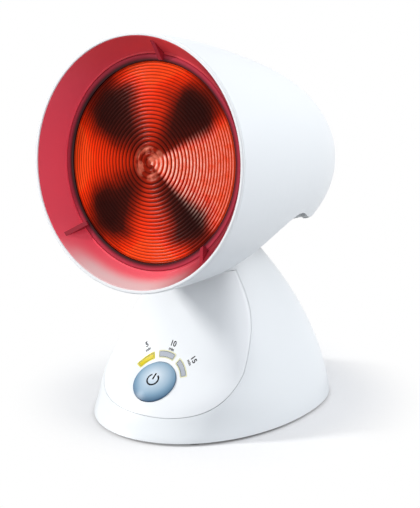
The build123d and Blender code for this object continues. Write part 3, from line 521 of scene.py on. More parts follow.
@dataclass(frozen=True)
class RibPattern:
    """Ribs that get finer outward: rib number n(r) = r (first + growth r), with r in millimetres."""

    first: float = 0.30
    growth: float = 0.0026

    def number(self, radius: np.ndarray) -> np.ndarray:
        """Rib number, with its fraction, at each radius."""
        return radius * (self.first + self.growth * radius)

    def pitch(self, radius: np.ndarray) -> np.ndarray:
        """Distance from rib to rib at each radius, 1 / n'(r)."""
        return 1.0 / (self.first + 2.0 * self.growth * radius)

    def wave(self, tree: NodeTree, radius: Source) -> Node:
        """Nodes for cos(2 pi n(r)): 1 in a groove, -1 on a crest.

        Args:
            tree: the material's tree.
            radius: the radius in metres.

        Returns:
            The last node.
        """
        rates = {1: 2.0 * math.pi * self.growth / MM**2, 2: 2.0 * math.pi * self.first / MM}
        slope = add_node(tree, Kind.MATH, rates, {0: radius}, operation="MULTIPLY_ADD")
        turns = add_node(tree, Kind.MATH, links={0: slope, 1: radius}, operation="MULTIPLY")
        return add_node(tree, Kind.MATH, links={0: turns}, operation="COSINE")


RIBS = RibPattern()


@dataclass(frozen=True)
class RubyGlass:
    """Pressed ruby glass over an aluminised bowl: four bright fields and four dark ones of painted glow, and
    ribs round them.

    Each pair in millimetres is a radius where a change starts and one where it is complete. Angles are
    in radians, and tones run from 0, the first stop, to 1, the last.
    """

    name: str
    # The fields' tones are the painted glow of the lit filament as the bowl reflects it.
    stops: tuple[tuple[float, str], ...] = (
        (0.0, "2C0703"),
        (0.20, "430D04"),
        (0.42, "8E1A04"),
        (0.62, "D02A06"),
        (0.86, "FA3508"),
        (1.0, "FF4916"),
    )
    # Painted light: shade in the grooves, glints on the crests, glow in the cloudy middle.
    groove: str = "260401"
    spark: str = "FFD6C4"
    centre: str = "F58468"
    lobes: float = 4.0
    lobe_turn: float = -0.3
    lobe_bend: float = 0.35
    lobe_mm: Pair = (6.0, 46.0)
    lobe_depth: float = 0.55
    rim_mm: Pair = (42.0, 56.0)
    rim_tone: Pair = (0.42, 0.86)
    beam_turn: float = 1.60
    beam_edge: Pair = (0.70, 0.40)
    beam_tone: float = 0.50
    crest: Pair = (0.2, -0.9)
    fleck: Pair = (0.32, 0.58)
    fleck_least: float = 0.25
    spark_mm: Pair = (52.0, 16.0)
    spark_least: float = 0.35
    core_mm: Pair = (11.5, 8.0)
    core_groove: float = 0.5
    groove_mm: Pair = (18.0, 48.0)
    groove_share: Pair = (0.92, 0.65)
    groove_edge: float = 0.25
    mist: Pair = (0.45, 0.68)
    mist_most: float = 0.75
    stirs_per_metre: float = 60.0
    flecks_per_metre: float = 260.0
    mists_per_metre: float = 190.0
    roughness: float = 0.25
    sheen: float = 0.05
    ior: float = 1.50

    def field(self, tree: NodeTree, angle: Source, radius: Source, stir: Source, beam: Source) -> Node:
        """Tone of the painted glow fields: the rim's tone + cos(4 angle) a(r), lifted in the beam.

        Args:
            tree: the material's tree.
            angle: the angle round the lens.
            radius: the radius in metres.
            stir: soft noise from 0 to 1 that bends the fields' edges.
            beam: the beam's share from 0 to 1.

        Returns:
            The last node.
        """
        sums = {"operation": "MULTIPLY_ADD"}
        bent = add_node(tree, Kind.MATH, {1: self.lobe_bend}, {0: stir, 2: angle}, **sums)
        four = add_node(tree, Kind.MATH, {1: self.lobes, 2: self.lobe_turn}, {0: bent}, **sums)
        lobes = add_node(tree, Kind.MATH, links={0: four}, operation="COSINE")
        depth = add_node(tree, Kind.RANGE, span(self.lobe_mm, (0.0, self.lobe_depth)), {0: radius})
        rim = add_node(tree, Kind.RANGE, span(self.rim_mm, self.rim_tone), {0: radius}, **SMOOTH)
        fields = add_node(tree, Kind.MATH, links={0: lobes, 1: depth, 2: rim}, **sums)
        return add_node(tree, Kind.MATH, {1: self.beam_tone}, {0: beam, 2: fields}, **sums)

    def beam(self, tree: NodeTree, angle: Source) -> Node:
        """Share of the bright beam, 1 in its middle and 0 beyond about 40 degrees to either side.

        Args:
            tree: the material's tree.
            angle: the angle round the lens.

        Returns:
            The last node.
        """
        aside = add_node(tree, Kind.MATH, {1: self.beam_turn}, {0: angle}, operation="SUBTRACT")
        spread = add_node(tree, Kind.MATH, links={0: aside}, operation="ABSOLUTE")
        return add_node(tree, Kind.RANGE, span(self.beam_edge, unit=1.0), {0: spread}, **SMOOTH)

    def sparks(
        self, tree: NodeTree, where: dict[str, Source], wave: Source, radius: Source, beam: Source
    ) -> Node:
        """Weight of the painted glints on the rib crests within the beam.

        Args:
            tree: the material's tree.
            where: object coordinates, as a texture's link.
            wave: the ribs' wave.
            radius: the radius in metres.
            beam: the beam's share from 0 to 1.

        Returns:
            The last node.
        """
        crest = add_node(tree, Kind.RANGE, span(self.crest, unit=1.0), {0: wave})
        fleck = add_node(tree, Kind.NOISE, {"Scale": self.flecks_per_metre, "Detail": 3.0}, where)
        patch = add_node(tree, Kind.RANGE, span(self.fleck, (self.fleck_least, 1.0), 1.0), {0: fleck})
        weight = add_node(tree, Kind.RANGE, span(self.spark_mm, (self.spark_least, 1.0)), {0: radius})
        for factor in (beam, crest, patch):
            weight = add_node(tree, Kind.MATH, links={0: weight, 1: factor}, operation="MULTIPLY")
        return weight

    def build(self) -> Material:
        """Make the material: painted glow fields by the angle, then the painted shade of the grooves, the
        painted glints and the painted glow of the cloudy middle.

        Returns:
            The material.
        """
        material, tree, where = new_material(self.name)
        local = HEAD_FRAME.coordinates(tree)
        stir = add_node(tree, Kind.NOISE, {"Scale": self.stirs_per_metre, "Detail": 4.0}, where)
        across = {0: local.outputs["X"], 1: local.outputs["Y"]}
        angle = add_node(tree, Kind.MATH, links=across, operation="ARCTAN2")
        plane = add_node(tree, Kind.COMBINE, links=across)
        radius = add_node(tree, Kind.VECTOR, links={0: plane}, operation="LENGTH")
        beam = self.beam(tree, angle)
        # Painted glow: the fields' tones by angle and radius.
        colour = add_node(tree, Kind.RAMP, links={0: self.field(tree, angle, radius, stir, beam)})
        set_ramp(colour, self.stops)
        wave = RIBS.wave(tree, radius)
        core = add_node(tree, Kind.RANGE, span(self.core_mm), {0: radius}, **SMOOTH)
        # Painted shade: darker in the grooves between the ribs.
        fading = add_node(tree, Kind.RANGE, span(self.groove_mm, self.groove_share), {0: radius})
        middle = add_node(tree, Kind.RANGE, {3: 1.0, 4: self.core_groove}, {0: core})
        strength = add_node(tree, Kind.MATH, links={0: fading, 1: middle}, operation="MULTIPLY")
        sharp = add_node(tree, Kind.RANGE, {1: self.groove_edge, 2: 1.0}, {0: wave})
        groove = add_node(tree, Kind.MATH, links={0: sharp, 1: strength}, operation="MULTIPLY")
        grooved = add_node(tree, Kind.MIX, {7: linear(self.groove)}, {0: groove, 6: colour}, **COLOURS)
        # Painted glints on the rib crests in the beam.
        sparks = self.sparks(tree, where, wave, radius, beam)
        sparked = add_node(tree, Kind.MIX, {7: linear(self.spark)}, {0: sparks, 6: grooved}, **COLOURS)
        # Painted glow: a pale cloudy middle.
        cloud = add_node(tree, Kind.NOISE, {"Scale": self.mists_per_metre, "Detail": 3.0}, where)
        dense = add_node(tree, Kind.RANGE, span(self.mist, (0.0, self.mist_most), 1.0), {0: cloud})
        painted_glow_middle = add_node(tree, Kind.MATH, links={0: dense, 1: core}, operation="MULTIPLY")
        cored = add_node(tree, Kind.MIX, {7: linear(self.centre)}, {0: painted_glow_middle, 6: sparked}, **COLOURS)
        look = {"Roughness": self.roughness, "IOR": self.ior, "Specular IOR Level": self.sheen}
        surface = add_node(tree, Kind.PRINCIPLED, look, {"Base Color": cored})
        add_node(tree, Kind.OUTPUT, links={0: surface})
        return material


@dataclass(frozen=True)
class RingTinted:
    """Plastic whose colour changes with the distance from a frame's axis; on the button this paints in a
    highlight and shade.

    The stops are (millimetres from the axis, sRGB hex colour) pairs, and the axis is shifted up by some.
    """

    name: str
    frame: LocalFrame
    reach: float
    stops: tuple[tuple[float, str], ...]
    shift: float = 0.0
    roughness: float = 0.30
    sheen: float = 0.3
    grain_mm: float = 0.4
    grain_depth_mm: float = 0.02
    relief: float = 0.03
    ior: float = 1.50

    def build(self) -> Material:
        """Make the material: the radius picks the tint, and fine noise stands for the spray's grain.

        Returns:
            The material.
        """
        material, tree, where = new_material(self.name)
        local = self.frame.coordinates(tree)
        lifted = add_node(tree, Kind.MATH, {1: -self.shift * MM}, {0: local.outputs["Y"]}, operation="ADD")
        plane = add_node(tree, Kind.COMBINE, links={0: local.outputs["X"], 1: lifted})
        radius = add_node(tree, Kind.VECTOR, links={0: plane}, operation="LENGTH")
        share = add_node(tree, Kind.RANGE, {2: self.reach * MM}, {0: radius})
        tone = add_node(tree, Kind.RAMP, links={0: share})
        set_ramp(tone, tuple((distance / self.reach, colour) for distance, colour in self.stops))
        grain = add_node(tree, Kind.NOISE, {"Scale": 1.0 / (self.grain_mm * MM), "Detail": 1.0}, where)
        depth = {"Strength": self.relief, "Distance": self.grain_depth_mm * MM}
        bump = add_node(tree, Kind.BUMP, depth, {"Height": grain})
        look = {"Roughness": self.roughness, "IOR": self.ior, "Specular IOR Level": self.sheen}
        surface = add_node(tree, Kind.PRINCIPLED, look, {"Base Color": tone, "Normal": bump})
        add_node(tree, Kind.OUTPUT, links={0: surface})
        return material


@dataclass(frozen=True)
class PlainMetal:
    """Metal as it leaves its process: fine drawn or pressed lines spread its reflections."""

    name: str
    colour: str
    roughness: float = 0.35
    line_mm: float = 0.4
    line_depth_mm: float = 0.03
    relief: float = 0.06
    stretch: float = 0.05
    shade: float = 0.14
    spread: float = 0.08

    def build(self) -> Material:
        """Make the material: noise stretched along X is the drawn grain in tone, roughness and bump.

        Returns:
            The material.
        """
        material, tree, where = new_material(self.name)
        drawn = add_node(tree, Kind.MAPPING, {"Scale": (self.stretch, 1.0, 1.0)}, where)
        fine = {"Scale": 1.0 / (self.line_mm * MM), "Detail": 3.0}
        line = add_node(tree, Kind.NOISE, fine, {"Vector": drawn})
        base = linear(self.colour)
        tone = add_node(tree, Kind.MIX, {6: base, 7: deeper(base, self.shade)}, {0: line}, **COLOURS)
        glosses = {3: self.roughness - self.spread, 4: self.roughness + self.spread}
        gloss = add_node(tree, Kind.RANGE, glosses, {0: line})
        depth = {"Strength": self.relief, "Distance": self.line_depth_mm * MM}
        bump = add_node(tree, Kind.BUMP, depth, {"Height": line})
        feeds = {"Base Color": tone, "Roughness": gloss, "Normal": bump}
        surface = add_node(tree, Kind.PRINCIPLED, {"Metallic": 1.0}, feeds)
        add_node(tree, Kind.OUTPUT, links={0: surface})
        return material


@dataclass(frozen=True)
class SolderMask:
    """Green solder mask over glass-epoxy board: glossy, with lighter copper runs showing through."""

    name: str
    colour: str = "1F5B34"
    track: str = "2F7A48"
    cell_mm: float = 10.0
    track_share: float = 0.05
    roughness: float = 0.28
    ior: float = 1.5

    def build(self) -> Material:
        """Make the material: the joints of a brick pattern stand for the copper runs.

        Returns:
            The material.
        """
        material, tree, where = new_material(self.name)
        mask = linear(self.colour)
        pattern = {
            "Color1": mask,
            "Color2": mask,
            "Mortar": linear(self.track),
            "Scale": 1.0 / (self.cell_mm * MM),
            "Mortar Size": self.track_share,
        }
        runs = add_node(tree, "ShaderNodeTexBrick", pattern, where)
        gloss = {"Roughness": self.roughness, "IOR": self.ior}
        surface = add_node(tree, Kind.PRINCIPLED, gloss, {"Base Color": runs})
        add_node(tree, Kind.OUTPUT, links={0: surface})
        return material


Finish = MouldedPlastic | ShadeWallPaintedLight | RubyGlass | RingTinted | PlainMetal | SolderMask
# How finely the white moulds are polished, and how screen-printed ink lies: matt and thin.
POLISHED = {"grain_mm": 0.6, "relief": 0.02, "shade": 0.012}
PRINTED = {"roughness": 0.5, "grain_mm": 0.3}
# Satin white ABS: the mould's polish leaves a soft sheen without sharp reflections.
WHITE_ABS = MouldedPlastic("moulded_white_abs", "EEF1F3", roughness=0.34, **POLISHED)
# The same ABS with a higher polish on the control panel and the lip.
PANEL_ABS = MouldedPlastic("moulded_panel_abs", "F4F6F8", roughness=0.30, **POLISHED)
BEZEL_ABS = MouldedPlastic("moulded_bezel_abs", "F1F2F3", roughness=0.26, **POLISHED)
# The shade wall's colours are painted glow, shade and highlight.
LIGHT_SHADE = ShadeWallPaintedLight("moulded_shade_wall_painted_glow_and_shade")
# The clips are the shade's own plastic: their crimson is the wall's painted red glow, made darker as painted
# shade.
CLIP_PLASTIC = MouldedPlastic(
    "moulded_clip_polycarbonate_painted_glow_and_shade", "A62C3B", roughness=0.25, grain_mm=0.8, relief=0.02
)
# Seat ring of dark red polycarbonate: nearly black at its inner edge, red towards its outer edge.
SEAT_PLASTIC = RingTinted(
    "moulded_seat_polycarbonate",
    HEAD_FRAME,
    64.0,
    ((0.0, "2A080C"), (57.6, "34090F"), (58.5, "7C1A2A"), (59.6, "B03044"), (62.0, "BE3A4E")),
    sheen=0.2,
)
LENS_GLASS = RubyGlass("pressed_ruby_glass_painted_glow")
# Blue pearl lacquer with a painted highlight in the middle and painted shade towards the rim and the foot.
BUTTON_LACQUER = RingTinted(
    "sprayed_pearl_lacquer_painted_highlight_and_shade",
    CONTROL_FRAME,
    16.0,
    ((0.0, "EDF3F8"), (4.5, "CBDAE6"), (9.5, "A3BDD0"), (12.5, "7B9CB5"), (15.6, "466683")),
    shift=2.2,
    sheen=0.12,
)
# Diffusing acrylic light guides: milky, the first one lit.
LIT_GUIDE = MouldedPlastic("moulded_lit_acrylic", "E2CC14", roughness=0.35, grain_mm=0.4, sheen=0.1)
PLAIN_GUIDE = MouldedPlastic("moulded_milky_acrylic", "B9BEC8", roughness=0.35, grain_mm=0.4, sheen=0.1)
# Round the lit window: the pale and grey inks with the LED's glow painted in.
LED_GLOW_ON_PALE_INK = MouldedPlastic("screened_pale_ink_painted_led_glow", "F0E65A", **PRINTED)
PALE_INK = MouldedPlastic("screened_pale_ink", "EEEBBE", **PRINTED)
LED_GLOW_ON_GREY_INK = MouldedPlastic("screened_grey_ink_painted_led_glow", "B9A61C", **PRINTED)
GREY_INK = MouldedPlastic("screened_grey_ink", "7E848B", **PRINTED)
BLACK_INK = MouldedPlastic("screened_black_ink", "141519", roughness=0.6, grain_mm=0.3, sheen=0.1)
PLATE_PLASTIC = MouldedPlastic(
    "moulded_plate_abs", "1F2022", roughness=0.6, grain_mm=0.8, relief=0.08, sheen=0.1
)
RUBBER = MouldedPlastic("moulded_rubber", "1B1B1C", roughness=0.72, grain_mm=0.8, relief=0.10)
BOARD = SolderMask("coated_glass_epoxy")
CASE_BLACK = MouldedPlastic("moulded_component_epoxy", "222326", roughness=0.42, grain_mm=0.5)
COIL_TAPE = MouldedPlastic("wound_polyester_tape", "C9A93A", roughness=0.38, grain_mm=1.2, shade=0.16)
TERMINAL_PA = MouldedPlastic("moulded_terminal_nylon", "2E7D4A", roughness=0.40, grain_mm=0.6)
LED_EPOXY = MouldedPlastic("cast_led_epoxy", "E6E3CF", roughness=0.10, grain_mm=0.5, coat=0.6)
FIBRE = MouldedPlastic(
    "punched_vulcanised_fibre", "8E6F48", roughness=0.70, grain_mm=0.4, relief=0.10, shade=0.20
)
# Glazed steatite: hard white glaze with slight waves.
STEATITE = MouldedPlastic("glazed_steatite", "E9E6DE", roughness=0.14, grain_mm=2.5, relief=0.05, coat=0.5)
ZINC = PlainMetal("zinc_plated_steel", "B9BCC0", roughness=0.34, line_mm=0.5)
ALUMINIUM = PlainMetal("pressed_aluminium", "D5D7DA", roughness=0.30, line_mm=0.8)
MIRROR_FILM = PlainMetal("aluminised_glass", "E2DAD8", roughness=0.12, line_mm=2.0)
BRASS = PlainMetal("rolled_brass", "C8A564", roughness=0.28, line_mm=0.4)


class Workshop:
    """The loaded solids, the finishes made so far, and the ways to dress and add pieces."""

    def __init__(self, frame: dict[str, Any]) -> None:
        """Keep the loaded model.
        """
        self.nodes: dict[str, Object] = frame["nodes"]
        self.made: dict[str, Material] = {}
        self.smooth = soft_edges()

    def material(self, finish: Finish) -> Material:
        """A finish's material, made once.

        Args:
            finish: the finish.

        Returns:
            The material.
        """
        if finish.name not in self.made:
            self.made[finish.name] = finish.build()
        return self.made[finish.name]

    def dress(self, finish: Finish, *names: str) -> None:
        """Give carried-over solids their finish and smooth their curved faces.

        Args:
            finish: the finish.
            *names: the solids' names.
        """
        for name in names:
            solid = self.nodes[name]
            solid.data.materials.clear()
            solid.data.materials.append(self.material(finish))
            modifier = solid.modifiers.new("smooth_faces", "NODES")
            modifier.node_group = self.smooth
            LOG.info("%s dressed in %s", name, finish.name)

    def add(self, piece: Object, finish: Finish, body: Body, slot: str, *replaced: str) -> None:
        """Finish a new piece, set what it rides on, and hide the solids that it stands for.

        Args:
            piece: the new object.
            finish: its finish.
            body: the body that it moves with.
            slot: the record's material slot; not used.
            *replaced: the solids that it stands for.
        """
        piece.data.materials.clear()
        piece.data.materials.append(self.material(finish))
        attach(piece, body.value)
        if replaced:
            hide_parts(*replaced)
        LOG.info("%s made with %d faces", piece.name, len(piece.data.polygons))


# ---- sub-assemblies
@dataclass
class Head:
    """The tilting head: shell, lip, shade, seat ring, clips and the lamp itself."""

    shop: Workshop
    lens_radius: float = 56.5
    face_depth: float = 13.6
    crown_radius: float = 678.1
    lens_thickness: float = 3.4
    rim_radius: float = 60.5
    rim_front: float = 17.0
    rim_back: float = 20.5
    rim_step: float = 0.6
    rib_height: float = 0.24
    face_points: int = 301
    back_points: int = 24
    around: int = 128

    def lens(self) -> Object:
        """Ribbed lens, from the axis over the ribs to the rim and back along the inside.

        The face is a shallow ball cap, z = -(d + R - sqrt(R^2 - r^2)), less the rib depth times
        1 - |sin(pi n(r))|, so that each rib is a rounded crest between two sharp grooves. The rib
        depth is a share of the local pitch.

        Returns:
            The closed piece.
        """
        radius = np.linspace(0.0, self.lens_radius, self.face_points)
        drop = self.crown_radius - np.sqrt(self.crown_radius**2 - radius**2)
        rib = self.rib_height * RIBS.pitch(radius) * (1.0 - np.abs(np.sin(math.pi * RIBS.number(radius))))
        face = np.stack([radius, -(self.face_depth + drop + rib)], axis=-1)
        inside = self.lens_radius - self.rim_step
        rim = np.array(
            [
                (self.lens_radius, -self.rim_front),
                (self.rim_radius, -self.rim_front),
                (self.rim_radius, -self.rim_back),
                (inside, -self.rim_back),
            ]
        )
        inner = np.linspace(inside, 0.0, self.back_points)
        fall = self.crown_radius - np.sqrt(self.crown_radius**2 - inner**2)
        back = np.stack([inner, -(self.face_depth + self.lens_thickness + fall)], axis=-1)
        return turned_piece("lens_ribs", HEAD_FRAME, np.concatenate([face, rim, back]), self.around)

    def build(self) -> None:
        """Make the lens and dress the head's solids."""
        shop = self.shop
        shop.add(self.lens(), LENS_GLASS, Body.HEAD, "lens_red", "bulb_lens")
        shop.dress(WHITE_ABS, "head_shell")
        shop.dress(BEZEL_ABS, "front_bezel")
        shop.dress(LIGHT_SHADE, "shade_liner")
        shop.dress(CLIP_PLASTIC, "lamp_clips")
        shop.dress(SEAT_PLASTIC, "lamp_ring")
        shop.dress(MIRROR_FILM, "bulb_body")
        shop.dress(BRASS, "bulb_cap", "cap_contact", "holder_contact")
        shop.dress(ALUMINIUM, "heat_shield")
        shop.dress(ZINC, "lamp_chassis", "chassis_screws", "holder_screws")
        shop.dress(STEATITE, "lamp_holder")


@dataclass
class Stand:
    """The domed stand with its sloping panel, bottom cover, feet, gland and tilt hinge."""

    shop: Workshop

    def build(self) -> None:
        """Dress the stand's and the hinge's solids."""
        shop = self.shop
        shop.dress(WHITE_ABS, "base_shell")
        shop.dress(PANEL_ABS, "front_panel")
        shop.dress(PLATE_PLASTIC, "base_plate")
        shop.dress(RUBBER, "rubber_feet", "cord_gland")
        shop.dress(ZINC, "base_screws", "tilt_bracket", "bracket_screws", "hinge_pin", "hinge_nut")
        shop.dress(ZINC, "hinge_spacer", "detent_disc", "spring_washers")
        shop.dress(FIBRE, "friction_washer")


@dataclass
class Electronics:
    """The boards inside the stand and what stands on them."""

    shop: Workshop

    def build(self) -> None:
        """Dress the boards and their components."""
        shop = self.shop
        shop.dress(BOARD, "control_board", "power_board")
        shop.dress(CASE_BLACK, "power_switch", "relay", "capacitor")
        shop.dress(COIL_TAPE, "transformer")
        shop.dress(TERMINAL_PA, "terminal_block")
        shop.dress(LED_EPOXY, "timer_leds")
        shop.dress(ZINC, "board_screws")


@dataclass(frozen=True)
class Mark:
    """One timer window's marks: its number, its place in the row, and how its number and its inks are set;
    round the lit window the inks carry a painted LED glow.

    The turn is in degrees clockwise from straight up the slope, and away is the number's baseline from
    the button's middle in millimetres.
    """

    words: str
    place: int
    turn: float
    away: float
    line: MouldedPlastic
    glow: MouldedPlastic


MARKS = (
    # The first window is lit: its line and ring carry the painted glow of its LED.
    Mark("5", -1, -38.0, 25.0, LED_GLOW_ON_GREY_INK, LED_GLOW_ON_PALE_INK),
    Mark("10", 0, 5.0, 23.2, GREY_INK, PALE_INK),
    Mark("15", 1, 44.0, 25.2, GREY_INK, PALE_INK),
)


@dataclass
class Controls:
    """Power button, timer windows and their printed marks on the sloping panel."""

    shop: Workshop
    window_radius: float = 18.0
    window_width: float = 2.3
    window_span: float = 31.0
    window_pitch: float = 46.0
    line_gap: float = 0.1
    line_width: float = 0.35
    glow_gap: float = 0.05
    glow_width: float = 0.6
    ink: float = 0.05
    digit_size: float = 4.3
    unit_size: float = 2.5
    unit_drop: float = 2.6
    type_weight: float = 0.022
    symbol_radius: float = 3.6
    symbol_line: float = 1.0
    symbol_gap: float = 64.0
    bar_rise: float = 1.25
    strip_height: float = 8.0
    type_height: float = 14.0
    arc_points: int = 25
    ring_points: int = 49
    bar_points: int = 7

    def window_frame(self, angle: float, away: float, width: float) -> np.ndarray:
        """Outline round one window: its arc bar, grown by a distance.

        Args:
            angle: the window's middle, in degrees clockwise from straight up the slope.
            away: distance from the window's edge to the line's near edge, in millimetres.
            width: the line's width in millimetres.

        Returns:
            Strip (n, 3, 2) in millimetres.
        """
        grow = 0.5 * width + away
        inner = self.window_radius - 0.5 * self.window_width - grow
        outer = self.window_radius + 0.5 * self.window_width + grow
        half = math.radians(0.5 * self.window_span) + grow / self.window_radius
        middle = math.radians(90.0 - angle)
        turn = np.linspace(middle - half, middle + half, self.arc_points)
        low = np.stack([inner * np.cos(turn), inner * np.sin(turn)], axis=-1)
        high = np.stack([outer * np.cos(turn[::-1]), outer * np.sin(turn[::-1])], axis=-1)
        return ribbon(np.concatenate([low, high]), width, closed=True)

    def symbol(self) -> list[np.ndarray]:
        """Power symbol: a ring with a gap up the slope, and a bar through the gap.

        Returns:
            The two strips, in millimetres.
        """
        gap = math.radians(0.5 * self.symbol_gap)
        turn = np.linspace(0.5 * math.pi + gap, 2.5 * math.pi - gap, self.ring_points)
        ring = self.symbol_radius * np.stack([np.cos(turn), np.sin(turn)], axis=-1)
        rise = np.linspace(0.0, self.bar_rise * self.symbol_radius, self.bar_points)
        bar = np.stack([np.zeros_like(rise), rise], axis=-1)
        return [ribbon(ring, self.symbol_line, closed=False), ribbon(bar, self.symbol_line, closed=False)]

    def print_strip(self, name: str, strip: np.ndarray, closed: bool, carrier: str) -> Object:
        """Lay a flat strip on a solid as a print.

        Args:
            name: the piece's name.
            strip: array (n, 3, 2) in millimetres in the control frame.
            closed: whether the strip joins up.
            carrier: the solid that carries it.

        Returns:
            The closed thin piece.
        """
        height = np.full(strip.shape[:2] + (1,), self.strip_height)
        grid = np.concatenate([strip, height], axis=-1) * MM
        piece = grid_piece(name, grid, wrap_u=closed)
        lay_on(piece, CONTROL_FRAME, self.shop.nodes[carrier], self.ink)
        return piece

    def print_words(self, name: str, words: str, size: float, radius: float, angle: float) -> Object:
        """Print a number or a unit on the panel, turned along the windows' arc.

        Args:
            name: the piece's name.
            words: what it says.
            size: the type size in millimetres.
            radius: the baseline's distance from the button's middle.
            angle: degrees clockwise from straight up the slope.

        Returns:
            The closed thin piece.
        """
        curve = bpy.data.curves.new(name, "FONT")
        curve.body = words
        curve.size = size * MM
        curve.align_x = "CENTER"
        curve.resolution_u = 4
        curve.offset = self.type_weight * size * MM
        source = put_in_scene(name + "_type", curve)
        bpy.context.view_layer.update()
        mesh = bpy.data.meshes.new_from_object(source)
        bpy.data.objects.remove(source)
        count = len(mesh.vertices)
        flat = np.empty(count * 3, dtype=np.float32)
        mesh.vertices.foreach_get("co", flat)
        points = flat.reshape(-1, 3)
        turn = math.radians(-angle)
        x = points[:, 0] * math.cos(turn) - points[:, 1] * math.sin(turn)
        y = points[:, 0] * math.sin(turn) + points[:, 1] * math.cos(turn)
        points[:, 0] = x - radius * MM * math.sin(turn)
        points[:, 1] = y + radius * MM * math.cos(turn)
        points[:, 2] = self.type_height * MM
        mesh.vertices.foreach_set("co", points.ravel())
        shape = bmesh.new()
        shape.from_mesh(mesh)
        bmesh.ops.triangulate(shape, faces=shape.faces)
        bmesh.ops.remove_doubles(shape, verts=shape.verts, dist=TYPE_WELD)
        shape.to_mesh(mesh)
        shape.free()
        piece = put_in_scene(name, mesh)
        lay_on(piece, CONTROL_FRAME, self.shop.nodes["front_panel"], self.ink)
        return piece

    def build(self) -> None:
        """Dress the controls and print their marks."""
        shop = self.shop
        shop.dress(BUTTON_LACQUER, "power_button")
        shop.dress(LIT_GUIDE, "timer_window_5")
        shop.dress(PLAIN_GUIDE, "timer_window_10", "timer_window_15")
        panel = "front_panel"
        for mark in MARKS:
            angle = mark.place * self.window_pitch
            edge = self.window_frame(angle, self.line_gap, self.line_width)
            inner = self.print_strip(f"window_line_{mark.words}", edge, True, panel)
            shop.add(inner, mark.line, Body.BASE, "window_grey")
            edge = self.window_frame(angle, self.line_gap + self.line_width + self.glow_gap, self.glow_width)
            outer = self.print_strip(f"window_glow_{mark.words}", edge, True, panel)
            shop.add(outer, mark.glow, Body.BASE, "window_yellow")
            for name, words, size, away in (
                ("number", mark.words, self.digit_size, mark.away),
                ("unit", "min", self.unit_size, mark.away - self.unit_drop),
            ):
                piece = self.print_words(f"{name}_{mark.words}", words, size, away, mark.turn)
                shop.add(piece, BLACK_INK, Body.BASE, "plate_dark")
        for name, strip in zip(("power_ring", "power_bar"), self.symbol()):
            piece = self.print_strip(name, strip, False, "power_button")
            shop.add(piece, BLACK_INK, Body.BUTTON, "plate_dark")


@dataclass(frozen=True)
class Lamp:
    """One soft square light: its place and side in metres, its power in watts and its sRGB hex colour."""

    name: str
    place: Triple
    side: float
    power: float
    colour: str = "FFFFFF"


LAMPS = (
    Lamp("key", (-1.18, -0.88, 0.86), 0.22, 19.0, "FFFEFC"),
    Lamp("top", (0.1, 0.1, 1.5), 1.2, 3.5),
    Lamp("side", (1.1, 1.0, 0.9), 1.0, 12.0),
    Lamp("front", (0.9, -1.3, 0.5), 0.8, 3.5),
)


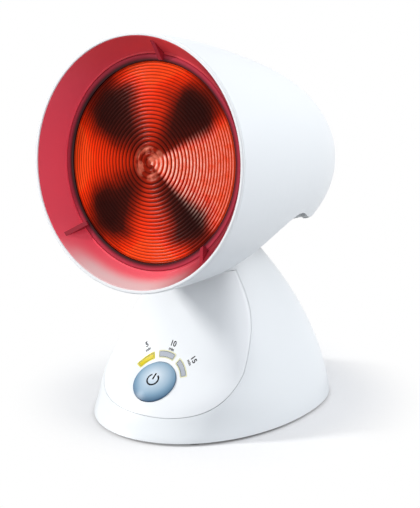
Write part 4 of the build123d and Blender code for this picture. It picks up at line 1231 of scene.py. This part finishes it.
@dataclass
class Studio:
    """Pale floor, soft lights, white surroundings and the camera, in metres."""

    eye: Triple = (0.6748, -0.9364, 0.4447)
    target: Triple = (-0.00153, -0.00763, 0.09124)
    lit_point: Triple = (0.0, 0.0, 0.12)
    lens: float = 143.6
    sensor: float = 36.0
    floor_rings: tuple[float, ...] = (0.0, 0.3, 0.8, 2.0, 6.0)
    floor_sides: int = 64
    floor_fade: Pair = (0.07, 0.13)
    floor_tone: str = "DFDFE0"
    floor_bounce: str = "A9ACB0"
    floor_glow: float = 0.10
    bright_side: Triple = (0.74, 0.25, 0.62)
    fill: Pair = (0.18, 0.82)
    fill_colour: str = "EEF2F8"

    def floor(self) -> None:
        """Round floor whose far part melts into the white surroundings, and that keeps the shadow near by."""
        radius = np.array(self.floor_rings).reshape(-1, 1)
        turn = np.linspace(0.0, 2.0 * math.pi, self.floor_sides, endpoint=False)
        flat = np.zeros((len(radius), self.floor_sides))
        grid = np.stack([radius * np.cos(turn), radius * np.sin(turn), flat], axis=-1)
        floor = grid_piece("floor", grid, wrap_v=True)
        if floor.data.polygons[0].normal.z < 0.0:
            floor.data.flip_normals()
        material, tree, where = new_material("studio_floor")
        path = add_node(tree, Kind.LIGHT_PATH)
        camera = path.outputs["Is Camera Ray"]
        seen = add_node(tree, Kind.MATH, {1: self.floor_glow}, {0: camera}, operation="MULTIPLY")
        tones = {6: linear(self.floor_bounce), 7: linear(self.floor_tone)}
        tone = add_node(tree, Kind.MIX, tones, {0: camera}, **COLOURS)
        matt = add_node(tree, "ShaderNodeBsdfDiffuse", links={"Color": tone})
        glow = add_node(tree, Kind.EMISSION, links={"Strength": seen})
        near = add_node(tree, "ShaderNodeAddShader", links={0: matt, 1: glow})
        white = add_node(tree, Kind.EMISSION, {"Strength": 1.0})
        distance = add_node(tree, Kind.VECTOR, links={0: where["Vector"]}, operation="LENGTH")
        fade = add_node(tree, Kind.RANGE, span(self.floor_fade, unit=1.0), {0: distance}, **SMOOTH)
        rays = {0: camera, 1: path.outputs["Is Glossy Ray"]}
        either = add_node(tree, Kind.MATH, links=rays, operation="MAXIMUM")
        share = add_node(tree, Kind.MATH, links={0: fade, 1: either}, operation="MULTIPLY")
        mixed = add_node(tree, Kind.MIX_SHADER, links={0: share, 1: near, 2: white})
        add_node(tree, Kind.OUTPUT, links={0: mixed})
        floor.data.materials.append(material)

    def surroundings(self) -> None:
        """World that is white where it is seen or mirrored, and else a soft fill, brighter on one side."""
        world = bpy.data.worlds.new("studio")
        bpy.context.scene.world = world
        world.use_nodes = True
        tree = world.node_tree
        tree.nodes.clear()
        rays = add_node(tree, Kind.LIGHT_PATH).outputs
        mirrors = {0: rays["Is Glossy Ray"], 1: rays["Is Transmission Ray"]}
        mirrored = add_node(tree, Kind.MATH, links=mirrors, operation="MAXIMUM")
        seen = add_node(tree, Kind.MATH, links={0: rays["Is Camera Ray"], 1: mirrored}, operation="MAXIMUM")
        where = add_node(tree, Kind.COORDINATES).outputs["Generated"]
        side = add_node(tree, Kind.VECTOR, {1: self.bright_side}, {0: where}, operation="DOT_PRODUCT")
        strength = add_node(tree, Kind.RANGE, span((-1.0, 1.0), self.fill, 1.0), {0: side})
        fill = add_node(tree, Kind.BACKGROUND, {"Color": linear(self.fill_colour)}, {"Strength": strength})
        white = add_node(tree, Kind.BACKGROUND, {"Color": linear("FFFFFF"), "Strength": 1.0})
        mixed = add_node(tree, Kind.MIX_SHADER, links={0: seen, 1: fill, 2: white})
        add_node(tree, "ShaderNodeOutputWorld", links={0: mixed})

    def lamp(self, lamp: Lamp) -> None:
        """Hang one light and aim it at the object.

        Args:
            lamp: the light.
        """
        data = bpy.data.lights.new(lamp.name, "AREA")
        data.size = lamp.side
        data.energy = lamp.power
        data.color = linear(lamp.colour)[:3]
        aim(put_in_scene(lamp.name, data), lamp.place, self.lit_point)

    def camera(self) -> None:
        """Long-lens camera at the front and to the lamp's left."""
        data = bpy.data.cameras.new("camera")
        data.lens = self.lens
        data.sensor_width = self.sensor
        camera = put_in_scene("camera", data)
        aim(camera, self.eye, self.target)
        bpy.context.scene.camera = camera

    def build(self) -> None:
        """Set up the whole studio."""
        bpy.context.scene.view_settings.view_transform = "Standard"
        self.floor()
        self.surroundings()
        for lamp in LAMPS:
            self.lamp(lamp)
        self.camera()
        LOG.info("studio set up")


def aim(item: Object, place: Triple, target: Triple) -> None:
    """Put a light or the camera somewhere and turn its -Z to a target, with Y upward.

    Args:
        item: the object.
        place: its place in metres.
        target: the point that it looks at.
    """
    item.location = place
    bpy.context.view_layer.update()
    item.rotation_euler = (type(item.location)(target) - item.location).to_track_quat("-Z", "Y").to_euler()


def main() -> None:
    """Load the model, and build every sub-assembly and the studio."""
    logging.basicConfig(level=logging.INFO, format="%(name)s: %(message)s")
    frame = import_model()
    shop = Workshop(frame)
    for part in (Head(shop), Stand(shop), Electronics(shop), Controls(shop)):
        part.build()
        LOG.info("%s built", type(part).__name__)
    Studio().build()


if __name__ == "__main__":
    main()
